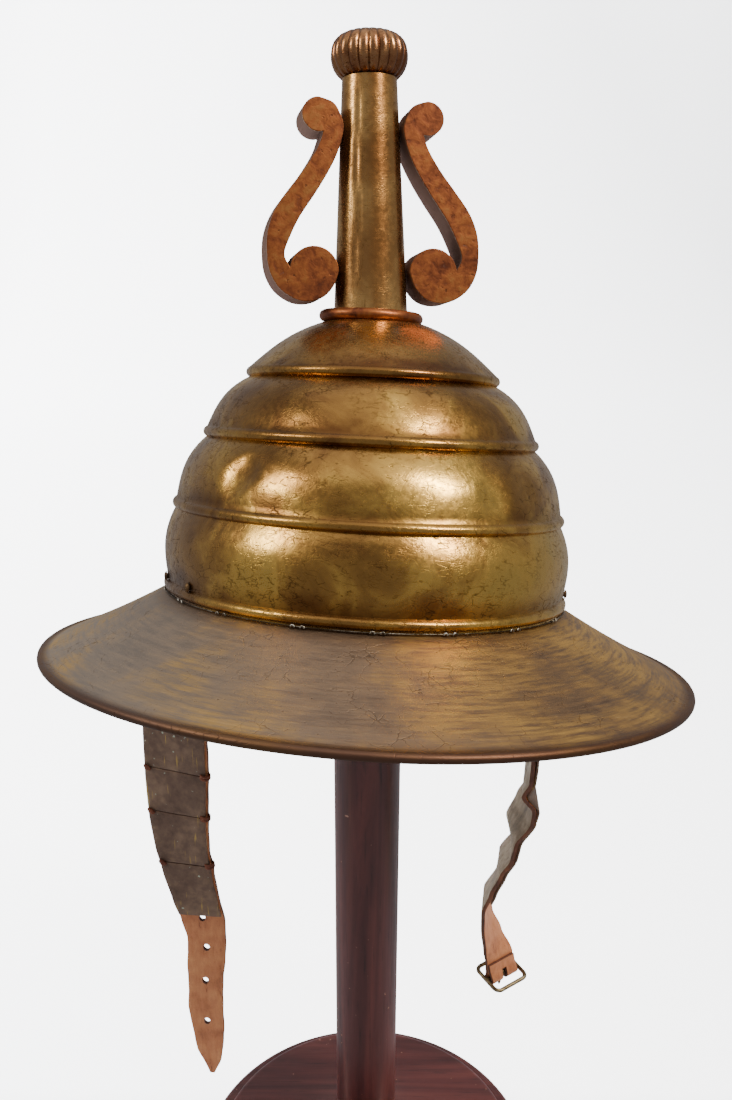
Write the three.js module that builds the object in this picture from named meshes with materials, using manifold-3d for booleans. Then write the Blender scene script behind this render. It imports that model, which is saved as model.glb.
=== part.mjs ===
// A tall tiered kettle hat with a lyre-shaped finial, resting on a turned wooden stand.
// Millimetres, +Z up. The origin is the centre of the stand's underside, and -Y is the front.

import * as THREE from 'three';
import { mergeVertices } from 'three/addons/utils/BufferGeometryUtils.js';
import Module from 'manifold-3d';

const wasm = await Module();
wasm.setup();

// Driving dimensions

const GAP = 0.3; // left between pieces that touch
const METAL_WALL = 2; // embossed sheet with its gilding

const BASE_RADIUS = 102; // stand base, at its foot step
const BASE_TOP_RADIUS = 92;
const BASE_HEIGHT = 20;
const BASE_STEP_HEIGHT = 11;
const POST_RADIUS = 17.6;
const POST_TOP = 534; // height of the rounded top above the floor
const SOCKET_DEPTH = 12; // how deep the post sits in the base

const TILT_BACK = 18; // degrees, the hat leans away from the front
const TILT_SIDE = 2.5;
const TURN = 12; // the hat's left side is turned to the front
const HAT_X = -4.4; // centre of the rim, seen from above
const HAT_Y = -24.7;

const CROWN_HALF_WIDTH = 95; // at the foot bead, left to right
const CROWN_HEIGHT = 160.3; // from the rim's plane to the finial's seat
const OVAL = 1.22; // front to back length over left to right width
const SEAT_RADIUS = 24;
const BEAD_RADIUS = 2.6;
const SKIRT_DEPTH = 7.5; // plain edge below the foot bead
const SKIRT_SET_IN = 2.2; // how far the plain edge lies inside the foot bead

const RIM_HALF_WIDTH = 152.3;
const BRIM_WALL = 1.6;
const RIM_WIRE_RADIUS = 2;
const BRIM_SAG = 1.2; // hollow of the cone between crown and rim

const COLUMN_FOOT_RADIUS = 17.6;
const COLUMN_TOP_RADIUS = 12.9;
const COLUMN_HEIGHT = 112.5;
const COLUMN_WALL = 2;
const FINIAL_LEAN = -3; // degrees, towards the hat's left
const FINIAL_SHIFT = -1.75;
const COLLAR_WIDTH = 6.5;
const COLLAR_HEIGHT = 5.5;
const KNOB_RADIUS = 18.3;
const KNOB_HEIGHT = 20.6;
const KNOB_LOBES = 20;
const LOBE_DEPTH = 1.1;

const SCROLL_HEIGHT = 92.2;
const SCROLL_WIDTH = 34;
const SCROLL_THICKNESS = 19; // front to back
const SCROLL_FOOT = 9.5; // lowest point above the finial's seat

const LEATHER = 2.2;
const STRAP_TOP_WIDTH = 45;
const STRAP_CLEARANCE = 1; // between the strap's top and the crown's plain edge
const LEFT_DROP = 304.5; // from the left strap's top edge to its tip
const RIGHT_DROP = 244.5; // from the right strap's top edge to the buckle's bar
const STRAP_RAISE = 6; // leather above the rivets
const PLATE_WALL = 1.3;
const PLATE_JOINT = 0.5;
const PLATE_CLEARANCE = 0.5; // the laced plates stand a little off the leather
const HOLE_RADIUS = 1.7;

const RIVET_HEAD_RADIUS = 2.7;
const RIVET_HEAD_HEIGHT = 1.6;
const RIVET_SHANK_RADIUS = 1.3;
const RIVET_RISE = 4.04; // above the foot bead
const RIVET_SPREAD = 20; // degrees round the crown between the two of a pair
const STRAP_BEARING = { left: 192, right: -12 }; // degrees round the crown, 0 is the hat's right

const BUCKLE_LENGTH = 24; // along the bar
const BUCKLE_HEIGHT = 21;
const BUCKLE_WIRE = 2.2;
const BUCKLE_CORNER = 3.2;
const BUCKLE_TURN = 36; // degrees, the bar's direction seen from above
const BUCKLE_SWING = 80; // degrees, the frame's lower side away from straight down
const BAR_RADIUS = 1.1;
const TONGUE_LENGTH = 9.7;
const TONGUE_WIDTH = 1.8;
const TONGUE_SWING = -9;
const SLOT_WIDTH = 3.2; // cut in the leather loop for the tongue
const LOOP_HEIGHT = 11; // doubled leather above the bar
const TONGUE_EYE = 0.9; // metal round the tongue's eye
const TONGUE_POINT = 0.5;

const STRAP_STEPS = 50;

const CROWN_SIDES = 44;
const RADIANS = Math.PI / 180;

// Tiers of the crown from the top down. Widths are shares of CROWN_HALF_WIDTH and heights of
// CROWN_HEIGHT, both for the bead that ends the tier. Bulge is a share of CROWN_HALF_WIDTH.
const TIERS = [
  { beadWidth: 0.628, beadHeight: 0.844, bulge: 0.026 },
  { beadWidth: 0.83, beadHeight: 0.664, bulge: 0.034 },
  { beadWidth: 0.97, beadHeight: 0.452, bulge: 0.034 },
  { beadWidth: 1, beadHeight: 0.215, bulge: 0.034 },
];

// Dents beaten into the tiers. Bearing and tilt are degrees; height is a share of CROWN_HEIGHT;
// wide, tall and deep are shares of CROWN_HALF_WIDTH.
const DENTS = [
  { bearing: 218, height: 0.57, wide: 0.15, tall: 0.1, deep: 0.04, tilt: 35 },
  { bearing: 272.5, height: 0.565, wide: 0.27, tall: 0.125, deep: 0.042, tilt: 2 },
  { bearing: 291, height: 0.56, wide: 0.04, tall: 0.13, deep: 0.02, tilt: 0 },
];

// Edge of a side scroll that faces the column, from its top curl down. Out is a share of
// SCROLL_WIDTH from the column's side and up a share of SCROLL_HEIGHT from the scroll's foot.
const SCROLL_NEAR_EDGE = [
  { out: 0.151, up: 0.974 },
  { out: 0.047, up: 0.917 },
  { out: 0, up: 0.848 },
  { out: 0.07, up: 0.734 },
  { out: 0.199, up: 0.631 },
  { out: 0.372, up: 0.523 },
  { out: 0.562, up: 0.414 },
  { out: 0.691, up: 0.311 },
  { out: 0.755, up: 0.23 },
];

// The other edge, from the bottom of the lower curl round and up to the notch under the top curl.
const SCROLL_FAR_EDGE = [
  { out: 0.07, up: 0.075 },
  { out: 0.21, up: 0.02 },
  { out: 0.405, up: 0 },
  { out: 0.612, up: 0.013 },
  { out: 0.824, up: 0.067 },
  { out: 0.955, up: 0.149 },
  { out: 1, up: 0.246 },
  { out: 0.99, up: 0.349 },
  { out: 0.893, up: 0.452 },
  { out: 0.705, up: 0.555 },
  { out: 0.51, up: 0.653 },
  { out: 0.346, up: 0.756 },
];
const TOP_CURL = { out: 0.344, up: 0.915, radius: 0.0846 }; // radius is a share of SCROLL_HEIGHT
const LOW_CURL = { up: 0.15, radius: 0.1247 };

// Courses of the two straps, from the top edge down. Drop is a share of the strap's drop. Side, how
// far it hangs to the right of its top's place, and width are shares of STRAP_TOP_WIDTH. Turn is
// degrees seen from above, mixed with the crown wall's own direction by the share in wall.
const LEFT_COURSE = [
  { drop: 0, side: 0, width: 1, turn: -66, wall: 1 },
  { drop: 0.098, side: -0.02, width: 0.92, turn: -64, wall: 1 },
  { drop: 0.18, side: -0.13, width: 0.85, turn: -42, wall: 0 },
  { drop: 0.285, side: -0.248, width: 0.755, turn: -20, wall: 0 },
  { drop: 0.371, side: -0.261, width: 0.745, turn: -18, wall: 0 },
  { drop: 0.443, side: -0.272, width: 0.69, turn: -15, wall: 0 },
  { drop: 0.505, side: -0.252, width: 0.633, turn: -12, wall: 0 },
  { drop: 0.548, side: -0.21, width: 0.6, turn: -9, wall: 0 },
  { drop: 0.61, side: -0.139, width: 0.545, turn: -6, wall: 0 },
  { drop: 0.653, side: -0.075, width: 0.505, turn: -5, wall: 0 },
  { drop: 0.696, side: -0.046, width: 0.458, turn: -5, wall: 0 },
  { drop: 0.785, side: -0.088, width: 0.422, turn: -5, wall: 0 },
  { drop: 0.85, side: -0.108, width: 0.409, turn: -5, wall: 0 },
  { drop: 0.9, side: -0.09, width: 0.387, turn: -5, wall: 0 },
  { drop: 0.946, side: -0.088, width: 0.302, turn: -5, wall: 0 },
  { drop: 0.972, side: -0.066, width: 0.2, turn: -5, wall: 0 },
  { drop: 1, side: -0.075, width: 0.06, turn: -5, wall: 0 },
];
const RIGHT_COURSE = [
  { drop: 0, side: 0, width: 1, turn: 88, wall: 1 },
  { drop: 0.12, side: -0.016, width: 0.92, turn: 86, wall: 1 },
  { drop: 0.28, side: -0.014, width: 0.82, turn: 84, wall: 0 },
  { drop: 0.4, side: -0.021, width: 0.747, turn: 86, wall: 0 },
  { drop: 0.444, side: -0.029, width: 0.72, turn: 86, wall: 0 },
  { drop: 0.477, side: -0.067, width: 0.71, turn: 80, wall: 0 },
  { drop: 0.514, side: 0.015, width: 0.69, turn: 89, wall: 0 },
  { drop: 0.551, side: -0.051, width: 0.67, turn: 97, wall: 0 },
  { drop: 0.604, side: -0.189, width: 0.65, turn: 93, wall: 0 },
  { drop: 0.645, side: -0.152, width: 0.622, turn: 80, wall: 0 },
  { drop: 0.69, side: -0.292, width: 0.596, turn: 84, wall: 0 },
  { drop: 0.74, side: -0.35, width: 0.56, turn: 75, wall: 0 },
  { drop: 0.793, side: -0.469, width: 0.5, turn: 82, wall: 0 },
  { drop: 0.85, side: -0.425, width: 0.43, turn: 72, wall: 0 },
  { drop: 0.9, side: -0.345, width: 0.415, turn: 56, wall: 0 },
  { drop: 0.955, side: -0.25, width: 0.41, turn: 36, wall: 0 },
  { drop: 1, side: -0.209, width: 0.41, turn: 36, wall: 0 },
];

// Shares of each strap's drop at which one dark plate ends and the next begins.
const LEFT_JOINTS = [0.105, 0.187, 0.269, 0.351, 0.433, 0.532, 0.64];
const RIGHT_JOINTS = [0.12, 0.225, 0.33, 0.44, 0.545, 0.65, 0.77];
const LEFT_HOLES = [0.648, 0.712, 0.785, 0.877];

// Materials

const metal = (color, roughness) =>
  new THREE.MeshStandardMaterial({ color, roughness, metalness: 1 });
const dull = (color, roughness) =>
  new THREE.MeshStandardMaterial({ color, roughness, metalness: 0 });

const materials = {
  gilding: metal(0xb08840, 0.35),
  brimBrass: metal(0x80684a, 0.5),
  copper: metal(0x8c5030, 0.45),
  darkBrass: metal(0x4a3a30, 0.6),
  rivetIron: metal(0x3a3230, 0.6),
  buckleBrass: metal(0x8a7a58, 0.4),
  leather: dull(0x82502f, 0.75),
  mahogany: dull(0x4a1c1c, 0.25),
};

// Solids, joins and cuts

function solidFrom(geometry) {
  const bare = geometry.clone();
  bare.deleteAttribute('normal');
  bare.deleteAttribute('uv');
  const merged = mergeVertices(bare, 1e-4);
  return new wasm.Manifold(
    new wasm.Mesh({
      numProp: 3,
      vertProperties: new Float32Array(merged.attributes.position.array),
      triVerts: new Uint32Array(merged.index.array),
    }),
  );
}

function geometryFrom(solid) {
  const mesh = solid.getMesh();
  const points = new Float32Array(mesh.numVert * 3);
  for (let i = 0; i < mesh.numVert; i += 1) {
    for (let k = 0; k < 3; k += 1) {
      points[3 * i + k] = mesh.vertProperties[mesh.numProp * i + k];
    }
  }
  const geometry = new THREE.BufferGeometry();
  geometry.setAttribute('position', new THREE.BufferAttribute(points, 3));
  geometry.setIndex([...mesh.triVerts]);
  return geometry;
}

function cutAll(geometry, cutters) {
  const solid = cutters.reduce((left, cutter) => left.subtract(solidFrom(cutter)), solidFrom(geometry));
  return geometryFrom(solid);
}

function named(name, geometry, material) {
  const mesh = new THREE.Mesh(geometry, material);
  mesh.name = name;
  return mesh;
}

// A skin of rings, closed at the axis where a row has no width, or else closed on its first row.
// place(row, angle) gives the point of a row at an angle.
function ringSkin(rows, sides, place) {
  const points = [];
  const starts = rows.map((row) => {
    const start = points.length / 3;
    const count = row.width === 0 ? 1 : sides;
    for (let j = 0; j < count; j += 1) {
      points.push(...place(row, (j / sides) * 2 * Math.PI));
    }
    return start;
  });
  const index = [];
  const vertex = (i, j) => starts[i] + (rows[i].width === 0 ? 0 : j % sides);
  const joins = rows[0].width === 0 ? rows.length - 1 : rows.length;
  for (let i = 0; i < joins; i += 1) {
    const k = (i + 1) % rows.length;
    for (let j = 0; j < sides; j += 1) {
      if (rows[k].width > 0) {
        index.push(vertex(i, j), vertex(k, j), vertex(k, j + 1));
      }
      if (rows[i].width > 0) {
        index.push(vertex(i, j), vertex(k, j + 1), vertex(i, j + 1));
      }
    }
  }
  const geometry = new THREE.BufferGeometry();
  geometry.setAttribute('position', new THREE.BufferAttribute(new Float32Array(points), 3));
  geometry.setIndex(index);
  return geometry;
}

// A solid turned about Z from [radius, height] pairs that begin and end on the axis or close.
function turned(profile, sides) {
  const points = profile.map(([radius, height]) => new THREE.Vector2(radius, height));
  return new THREE.LatheGeometry(points, sides).rotateX(Math.PI / 2);
}

function arcPoints(centre, radius, from, to, steps) {
  return Array.from({ length: steps + 1 }, (_, i) => {
    const angle = (from + ((to - from) * i) / steps) * RADIANS;
    return [centre[0] + radius * Math.cos(angle), centre[1] + radius * Math.sin(angle)];
  });
}

// Where the hat stands in space

const hatTilt = new THREE.Group();
hatTilt.rotation.set(-TILT_BACK * RADIANS, TILT_SIDE * RADIANS, 0, 'XYZ');
const hatTurned = new THREE.Group();
hatTurned.rotation.z = TURN * RADIANS;
hatTilt.add(hatTurned);

// Crown

const beadRows = ({ width, height }) =>
  arcPoints([width - BEAD_RADIUS, height], BEAD_RADIUS, 62, -62, 3).map(([w, h]) => ({
    width: w,
    height: h,
  }));

// One bulging tier between the bead above it and the bead below it.
function tierRows(start, end, bulge) {
  return [0.25, 0.5, 0.75].map((share) => {
    const lift = bulge * Math.sin(Math.PI * share ** 0.9);
    const run = Math.hypot(end.width - start.width, end.height - start.height);
    return {
      width: start.width + (end.width - start.width) * share + (lift * (start.height - end.height)) / run,
      height: start.height + (end.height - start.height) * share + (lift * (end.width - start.width)) / run,
    };
  });
}

function crownRows() {
  const outer = [{ width: SEAT_RADIUS, height: CROWN_HEIGHT }];
  const inner = [{ width: SEAT_RADIUS, height: CROWN_HEIGHT - METAL_WALL }];
  let start = outer[0];
  for (const tier of TIERS) {
    const bead = {
      width: tier.beadWidth * CROWN_HALF_WIDTH,
      height: tier.beadHeight * CROWN_HEIGHT,
    };
    const around = beadRows(bead);
    const wall = tierRows(start, around[0], tier.bulge * CROWN_HALF_WIDTH);
    outer.push(...wall, ...around);
    const lining = [wall[0], wall[2]].map((row) => ({
      width: row.width - METAL_WALL,
      height: row.height - METAL_WALL / 2,
    }));
    inner.push(...lining, { width: around[3].width - METAL_WALL, height: bead.height });
    start = around[3];
  }
  const foot = TIERS[3];
  const skirt = foot.beadWidth * CROWN_HALF_WIDTH - SKIRT_SET_IN;
  const edge = foot.beadHeight * CROWN_HEIGHT - SKIRT_DEPTH;
  outer.push({ width: skirt, height: start.height - GAP }, { width: skirt, height: edge });
  inner.push({ width: skirt - METAL_WALL, height: start.height - METAL_WALL });
  inner.push({ width: skirt - METAL_WALL, height: edge });
  return { outer, inner, skirt, edge };
}

const crownShape = crownRows();

function dentDepth(angle, row) {
  let depth = 0;
  for (const dent of DENTS) {
    const turnBy = Math.atan2(Math.sin(angle - dent.bearing * RADIANS), Math.cos(angle - dent.bearing * RADIANS));
    const across = (turnBy * row.width) / CROWN_HALF_WIDTH;
    const above = (row.height - dent.height * CROWN_HEIGHT) / CROWN_HALF_WIDTH;
    const tilt = dent.tilt * RADIANS;
    const u = (across * Math.cos(tilt) + above * Math.sin(tilt)) / dent.wide;
    const v = (above * Math.cos(tilt) - across * Math.sin(tilt)) / dent.tall;
    const spread = Math.max(0, 1 - u * u - v * v);
    depth += dent.deep * CROWN_HALF_WIDTH * spread ** 0.8;
  }
  return depth;
}

function ovalPoint(width, height, angle) {
  return [width * Math.cos(angle), OVAL * width * Math.sin(angle), height];
}

function crownGeometry() {
  const rows = [
    { width: 0, height: CROWN_HEIGHT },
    ...crownShape.outer,
    ...crownShape.inner.toReversed(),
    { width: 0, height: CROWN_HEIGHT - METAL_WALL },
  ];
  return ringSkin(rows, CROWN_SIDES, (row, angle) =>
    ovalPoint(Math.max(0, row.width - dentDepth(angle, row)), row.height, angle),
  );
}

function hollowWidth(height) {
  const rows = crownShape.inner;
  if (height >= rows[0].height) {
    return 0;
  }
  const below = rows.findIndex((row) => row.height <= height);
  if (below < 0) {
    return rows.at(-1).width;
  }
  const share = (rows[below - 1].height - height) / (rows[below - 1].height - rows[below].height);
  return rows[below - 1].width + (rows[below].width - rows[below - 1].width) * share;
}

// The crown comes down over the post until its lining bears on the post's rounded top.

function hatHeight() {
  const back = new THREE.Quaternion();
  hatTilt.getWorldQuaternion(back);
  back.multiply(hatTurned.quaternion).invert();
  const centre = POST_TOP - POST_RADIUS;
  const clear = (z) => {
    for (let i = 0; i <= 12; i += 1) {
      for (let j = 0; j < CROWN_SIDES; j += 1) {
        const up = (i / 12) * 90 * RADIANS;
        const round = (j / CROWN_SIDES) * 2 * Math.PI;
        const reach = POST_RADIUS + GAP;
        const point = new THREE.Vector3(
          reach * Math.cos(up) * Math.cos(round) - HAT_X,
          reach * Math.cos(up) * Math.sin(round) - HAT_Y,
          centre + reach * Math.sin(up) - z,
        ).applyQuaternion(back);
        if (Math.hypot(point.x, point.y / OVAL) > hollowWidth(point.z)) {
          return false;
        }
      }
    }
    return true;
  };
  let low = 0;
  let high = POST_TOP;
  for (let step = 0; step < 40; step += 1) {
    const middle = (low + high) / 2;
    if (clear(middle)) {
      high = middle;
    } else {
      low = middle;
    }
  }
  return high;
}

hatTilt.position.set(HAT_X, HAT_Y, hatHeight());
hatTilt.updateMatrixWorld(true);

// Brim: a shallow cone round the crown's plain edge, rolled over a wire at its rim.

function brimGeometry() {
  const neck = crownShape.skirt + GAP;
  const top = TIERS[3].beadHeight * CROWN_HEIGHT - BEAD_RADIUS - GAP - 0.6;
  const rimCentre = RIM_HALF_WIDTH - RIM_WIRE_RADIUS;
  const wire = arcPoints([rimCentre, 0], RIM_WIRE_RADIUS, 115, -155, 6);
  const rows = [{ width: neck, height: top }];
  const [endWidth, endHeight] = wire[0];
  for (const share of [0.12, 0.32, 0.55, 0.78]) {
    rows.push({
      width: neck + (endWidth - neck) * share,
      height: top + (endHeight - top) * share - BRIM_SAG * Math.sin(Math.PI * share),
    });
  }
  const upper = rows.slice(1);
  rows.push(...wire.map(([width, height]) => ({ width, height })));
  rows.push(...upper.toReversed().map((row) => ({ width: row.width, height: row.height - BRIM_WALL })));
  rows.push({ width: neck, height: top - BRIM_WALL });
  return ringSkin(rows, CROWN_SIDES, (row, angle) => ovalPoint(row.width, row.height, angle));
}

// Finial

const columnRadius = (height) =>
  COLUMN_FOOT_RADIUS + ((COLUMN_TOP_RADIUS - COLUMN_FOOT_RADIUS) * height) / COLUMN_HEIGHT;

const columnFoot = COLUMN_FOOT_RADIUS * Math.sin(Math.abs(FINIAL_LEAN) * RADIANS) + GAP;

function columnGeometry() {
  const top = COLUMN_HEIGHT;
  return turned(
    [
      [columnRadius(columnFoot) - COLUMN_WALL, columnFoot],
      [columnRadius(columnFoot), columnFoot],
      [COLUMN_TOP_RADIUS, top],
      [COLUMN_TOP_RADIUS - COLUMN_WALL, top],
      [columnRadius(columnFoot) - COLUMN_WALL, columnFoot],
    ],
    24,
  );
}

// Half-round ring on the crown's seat, its bore wide enough for the leaning column.
function collarGeometry() {
  const sway = COLLAR_HEIGHT * Math.tan(Math.abs(FINIAL_LEAN) * RADIANS);
  const bore = COLUMN_FOOT_RADIUS + sway + GAP;
  const middle = COLLAR_HEIGHT / 2;
  const bulge = arcPoints([bore + COLLAR_WIDTH - middle, middle + GAP], middle, -90, 90, 4);
  return turned([[bore, GAP], ...bulge, [bore, COLLAR_HEIGHT + GAP], [bore, GAP]], 24);
}

function knobGeometry() {
  const foot = COLUMN_HEIGHT + GAP;
  const profile = [
    { width: 0, up: 1 },
    { width: 0.5, up: 1 },
    { width: 0.8, up: 0.93 },
    { width: 0.96, up: 0.72 },
    { width: 1, up: 0.48 },
    { width: 0.93, up: 0.22 },
    { width: 0.74, up: 0 },
    { width: 0, up: 0 },
  ];
  const sidesPerLobe = 3;
  return ringSkin(
    profile.map((row) => ({ width: row.width * KNOB_RADIUS, height: foot + row.up * KNOB_HEIGHT, fluted: row.up })),
    KNOB_LOBES * sidesPerLobe,
    (row, angle) => {
      const groove = (1 - Math.cos(KNOB_LOBES * angle)) / 2;
      const bare = row.fluted === 0 || row.width < KNOB_RADIUS * 0.6;
      const radius = row.width - (bare ? 0 : LOBE_DEPTH * (1 - groove));
      return [radius * Math.cos(angle), radius * Math.sin(angle), row.height];
    },
  );
}

// S-shaped board: two curls joined by a swept strip, lying in the XZ plane beside the column.
function scrollGeometry(side) {
  const place = ({ out, up }) => {
    const height = SCROLL_FOOT + up * SCROLL_HEIGHT;
    return new THREE.Vector2(columnRadius(height) + GAP + out * SCROLL_WIDTH, height);
  };
  const topRadius = TOP_CURL.radius * SCROLL_HEIGHT;
  const top = place(TOP_CURL);
  const lowRadius = LOW_CURL.radius * SCROLL_HEIGHT;
  const low = place({ out: lowRadius / SCROLL_WIDTH, up: LOW_CURL.up });
  const outline = new THREE.Shape();
  outline.absarc(top.x, top.y, topRadius, -105 * RADIANS, 90 * RADIANS, false);
  outline.splineThru([
    ...SCROLL_NEAR_EDGE.map(place),
    new THREE.Vector2(low.x + lowRadius * Math.cos(8 * RADIANS), low.y + lowRadius * Math.sin(8 * RADIANS)),
  ]);
  outline.absarc(low.x, low.y, lowRadius, 10 * RADIANS, 180 * RADIANS, false);
  outline.splineThru(SCROLL_FAR_EDGE.map(place));
  const points = outline.getPoints(2).filter((point, i, all) => i === 0 || point.distanceTo(all[i - 1]) > 0.5);
  const board = new THREE.ExtrudeGeometry(new THREE.Shape(points), {
    depth: SCROLL_THICKNESS,
    bevelEnabled: false,
    curveSegments: 1,
  });
  board.translate(0, 0, -SCROLL_THICKNESS / 2).rotateX(Math.PI / 2);
  if (side < 0) {
    board.rotateZ(Math.PI);
  }
  return board;
}

const finial = new THREE.Group();
finial.position.set(FINIAL_SHIFT, 0, CROWN_HEIGHT);
finial.rotation.set(0, FINIAL_LEAN * RADIANS, TURN * RADIANS, 'XYZ');
finial.add(
  named('finial_column', columnGeometry(), materials.gilding),
  named('finial_knob', knobGeometry(), materials.gilding),
  named('lyre_scroll_left', scrollGeometry(-1), materials.copper),
  named('lyre_scroll_right', scrollGeometry(1), materials.copper),
);
const collar = named('finial_collar', collarGeometry(), materials.copper);
collar.position.set(FINIAL_SHIFT, 0, CROWN_HEIGHT);
hatTilt.add(finial, collar);

// Straps

const rivetHeight = TIERS[3].beadHeight * CROWN_HEIGHT + RIVET_RISE;

// The place inside the crown's plain edge where a strap hangs, and the wall's direction there.
function strapTop(bearing) {
  const angle = bearing * RADIANS;
  const wallBend = OVAL * OVAL * crownShape.skirt;
  const sag = STRAP_TOP_WIDTH ** 2 / (8 * wallBend);
  const inside = METAL_WALL + sag + STRAP_CLEARANCE + LEATHER / 2;
  const outward = new THREE.Vector2(Math.cos(angle) * OVAL, Math.sin(angle)).normalize();
  const [x, y] = ovalPoint(crownShape.skirt, 0, angle);
  const point = new THREE.Vector3(x - inside * outward.x, y - inside * outward.y, rivetHeight);
  const along = new THREE.Vector3(-outward.y, outward.x, 0).transformDirection(hatTurned.matrixWorld);
  const out = new THREE.Vector3(outward.x, outward.y, 0).transformDirection(hatTurned.matrixWorld);
  point.applyMatrix4(hatTurned.matrixWorld);
  point.z += STRAP_RAISE;
  let wallTurn = Math.atan2(along.y, along.x) / RADIANS;
  if (bearing > 90) {
    wallTurn += wallTurn > 0 ? -180 : 0;
  }
  return { point, wallTurn, out };
}

// The strap's middle, width and turn at a share of its drop.
function courseAt(course, top, dropLength, share) {
  const at = (key) => {
    const next = Math.max(1, course.findIndex((row) => row.drop >= share));
    const [a, b] = [course[next - 1], course[next]];
    const mix = (share - a.drop) / (b.drop - a.drop);
    const smooth = mix * mix * (3 - 2 * mix);
    const value = (row) =>
      key === 'turn' ? row.wall * top.wallTurn + (1 - row.wall) * row.turn : row[key];
    const blend = key === 'width' ? mix : (mix + smooth) / 2;
    return value(a) + (value(b) - value(a)) * blend;
  };
  const middle = new THREE.Vector3(
    top.point.x + at('side') * STRAP_TOP_WIDTH,
    top.point.y,
    top.point.z - share * dropLength,
  );
  const turn = at('turn') * RADIANS;
  const across = new THREE.Vector3(Math.cos(turn), Math.sin(turn), 0);
  return { middle, across, width: at('width') * STRAP_TOP_WIDTH };
}

// Sections of a strap are taken on one grid, so that what lies on it has the same facets.
function sectionAt(strap, share) {
  const place = share * strap.steps;
  const before = Math.min(strap.steps - 1, Math.floor(place));
  const [a, b] = [before, before + 1].map((i) =>
    courseAt(strap.course, strap.top, strap.drop, i / strap.steps),
  );
  const mix = place - before;
  return {
    middle: a.middle.lerp(b.middle, mix),
    across: a.across.lerp(b.across, mix).normalize(),
    width: a.width + (b.width - a.width) * mix,
  };
}

// A flat strip along a strap's course from one share of its drop to another, its middle moved off
// the strap's by offset towards the strap's outer face.
function strip(strap, from, to, thickness, offset, trim) {
  const between = Array.from({ length: strap.steps + 1 }, (_, i) => i / strap.steps);
  const shares = [from, ...between.filter((share) => share > from + 0.004 && share < to - 0.004), to];
  const points = [];
  for (const share of shares) {
    const { middle, across, width } = sectionAt(strap, share);
    const face = new THREE.Vector3(across.y, -across.x, 0);
    const half = width / 2 - trim;
    for (const [w, t] of [[-half, 1], [half, 1], [half, -1], [-half, -1]]) {
      const point = middle.clone().addScaledVector(across, w);
      point.addScaledVector(face, offset + (t * thickness) / 2);
      points.push(point.x, point.y, point.z);
    }
  }
  const index = [0, 1, 2, 0, 2, 3];
  for (let i = 0; i < shares.length - 1; i += 1) {
    for (let k = 0; k < 4; k += 1) {
      const [a, b] = [4 * i + k, 4 * i + ((k + 1) % 4)];
      if (k === 2) {
        index.push(a, a + 4, b, b, a + 4, b + 4); // both faces split along the same diagonal
      } else {
        index.push(a, a + 4, b + 4, a, b + 4, b);
      }
    }
  }
  const last = 4 * (shares.length - 1);
  index.push(last, last + 2, last + 1, last, last + 3, last + 2);
  const geometry = new THREE.BufferGeometry();
  geometry.setAttribute('position', new THREE.BufferAttribute(new Float32Array(points), 3));
  geometry.setIndex(index);
  return geometry;
}

const straps = {
  left: {
    course: LEFT_COURSE,
    drop: LEFT_DROP,
    joints: LEFT_JOINTS,
    top: strapTop(STRAP_BEARING.left),
    steps: STRAP_STEPS,
  },
  right: {
    course: RIGHT_COURSE,
    drop: RIGHT_DROP,
    joints: RIGHT_JOINTS,
    top: strapTop(STRAP_BEARING.right),
    steps: STRAP_STEPS,
  },
};

function plateMeshes(side) {
  const strap = straps[side];
  const offset = LEATHER / 2 + PLATE_CLEARANCE + PLATE_WALL / 2;
  const half = PLATE_JOINT / 2 / strap.drop;
  return strap.joints.slice(1).map((end, i) => {
    const plate = strip(strap, strap.joints[i] + half, end - half, PLATE_WALL, offset, 0.6);
    return named(`strap_${side}_plate_${i + 1}`, plate, materials.darkBrass);
  });
}

// Rivets: a domed head outside, a shank through crown and leather, and a flat head inside.

const rivetBearings = (side) =>
  [-0.5, 0.5].map((share) => STRAP_BEARING[side] + share * RIVET_SPREAD);

function rivetMatrix(bearing) {
  const angle = bearing * RADIANS;
  const outward = new THREE.Vector3(Math.cos(angle) * OVAL, Math.sin(angle), 0).normalize();
  const width = hollowWidth(rivetHeight) + METAL_WALL;
  const place = new THREE.Vector3(...ovalPoint(width, rivetHeight, angle)).addScaledVector(outward, GAP);
  const up = new THREE.Quaternion().setFromUnitVectors(new THREE.Vector3(0, 0, 1), outward);
  return new THREE.Matrix4().compose(place, up, new THREE.Vector3(1, 1, 1));
}

const shankLength = 2 * METAL_WALL + 2 * STRAP_CLEARANCE + LEATHER + 2 * GAP;

function rivetGeometry() {
  const dome = [0, 45, 90].map((angle) => [
    RIVET_HEAD_RADIUS * Math.cos(angle * RADIANS),
    RIVET_HEAD_HEIGHT * Math.sin(angle * RADIANS),
  ]);
  dome[2][0] = 0;
  const clench = -shankLength - 1;
  return turned(
    [
      [0, clench],
      [RIVET_HEAD_RADIUS * 0.8, clench],
      [RIVET_HEAD_RADIUS * 0.8, -shankLength],
      [RIVET_SHANK_RADIUS, -shankLength],
      [RIVET_SHANK_RADIUS, 0],
      ...dome,
    ],
    8,
  );
}

function shankHole() {
  const depth = shankLength + 8;
  return new THREE.CylinderGeometry(RIVET_SHANK_RADIUS + GAP, RIVET_SHANK_RADIUS + GAP, depth, 8)
    .rotateX(Math.PI / 2)
    .translate(0, 0, 4 - depth / 2);
}

const allBearings = [...rivetBearings('left'), ...rivetBearings('right')];
const crownHoles = allBearings.map((bearing) => shankHole().applyMatrix4(rivetMatrix(bearing)));
const inSpace = (geometry) => geometry.clone().applyMatrix4(hatTurned.matrixWorld);

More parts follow.
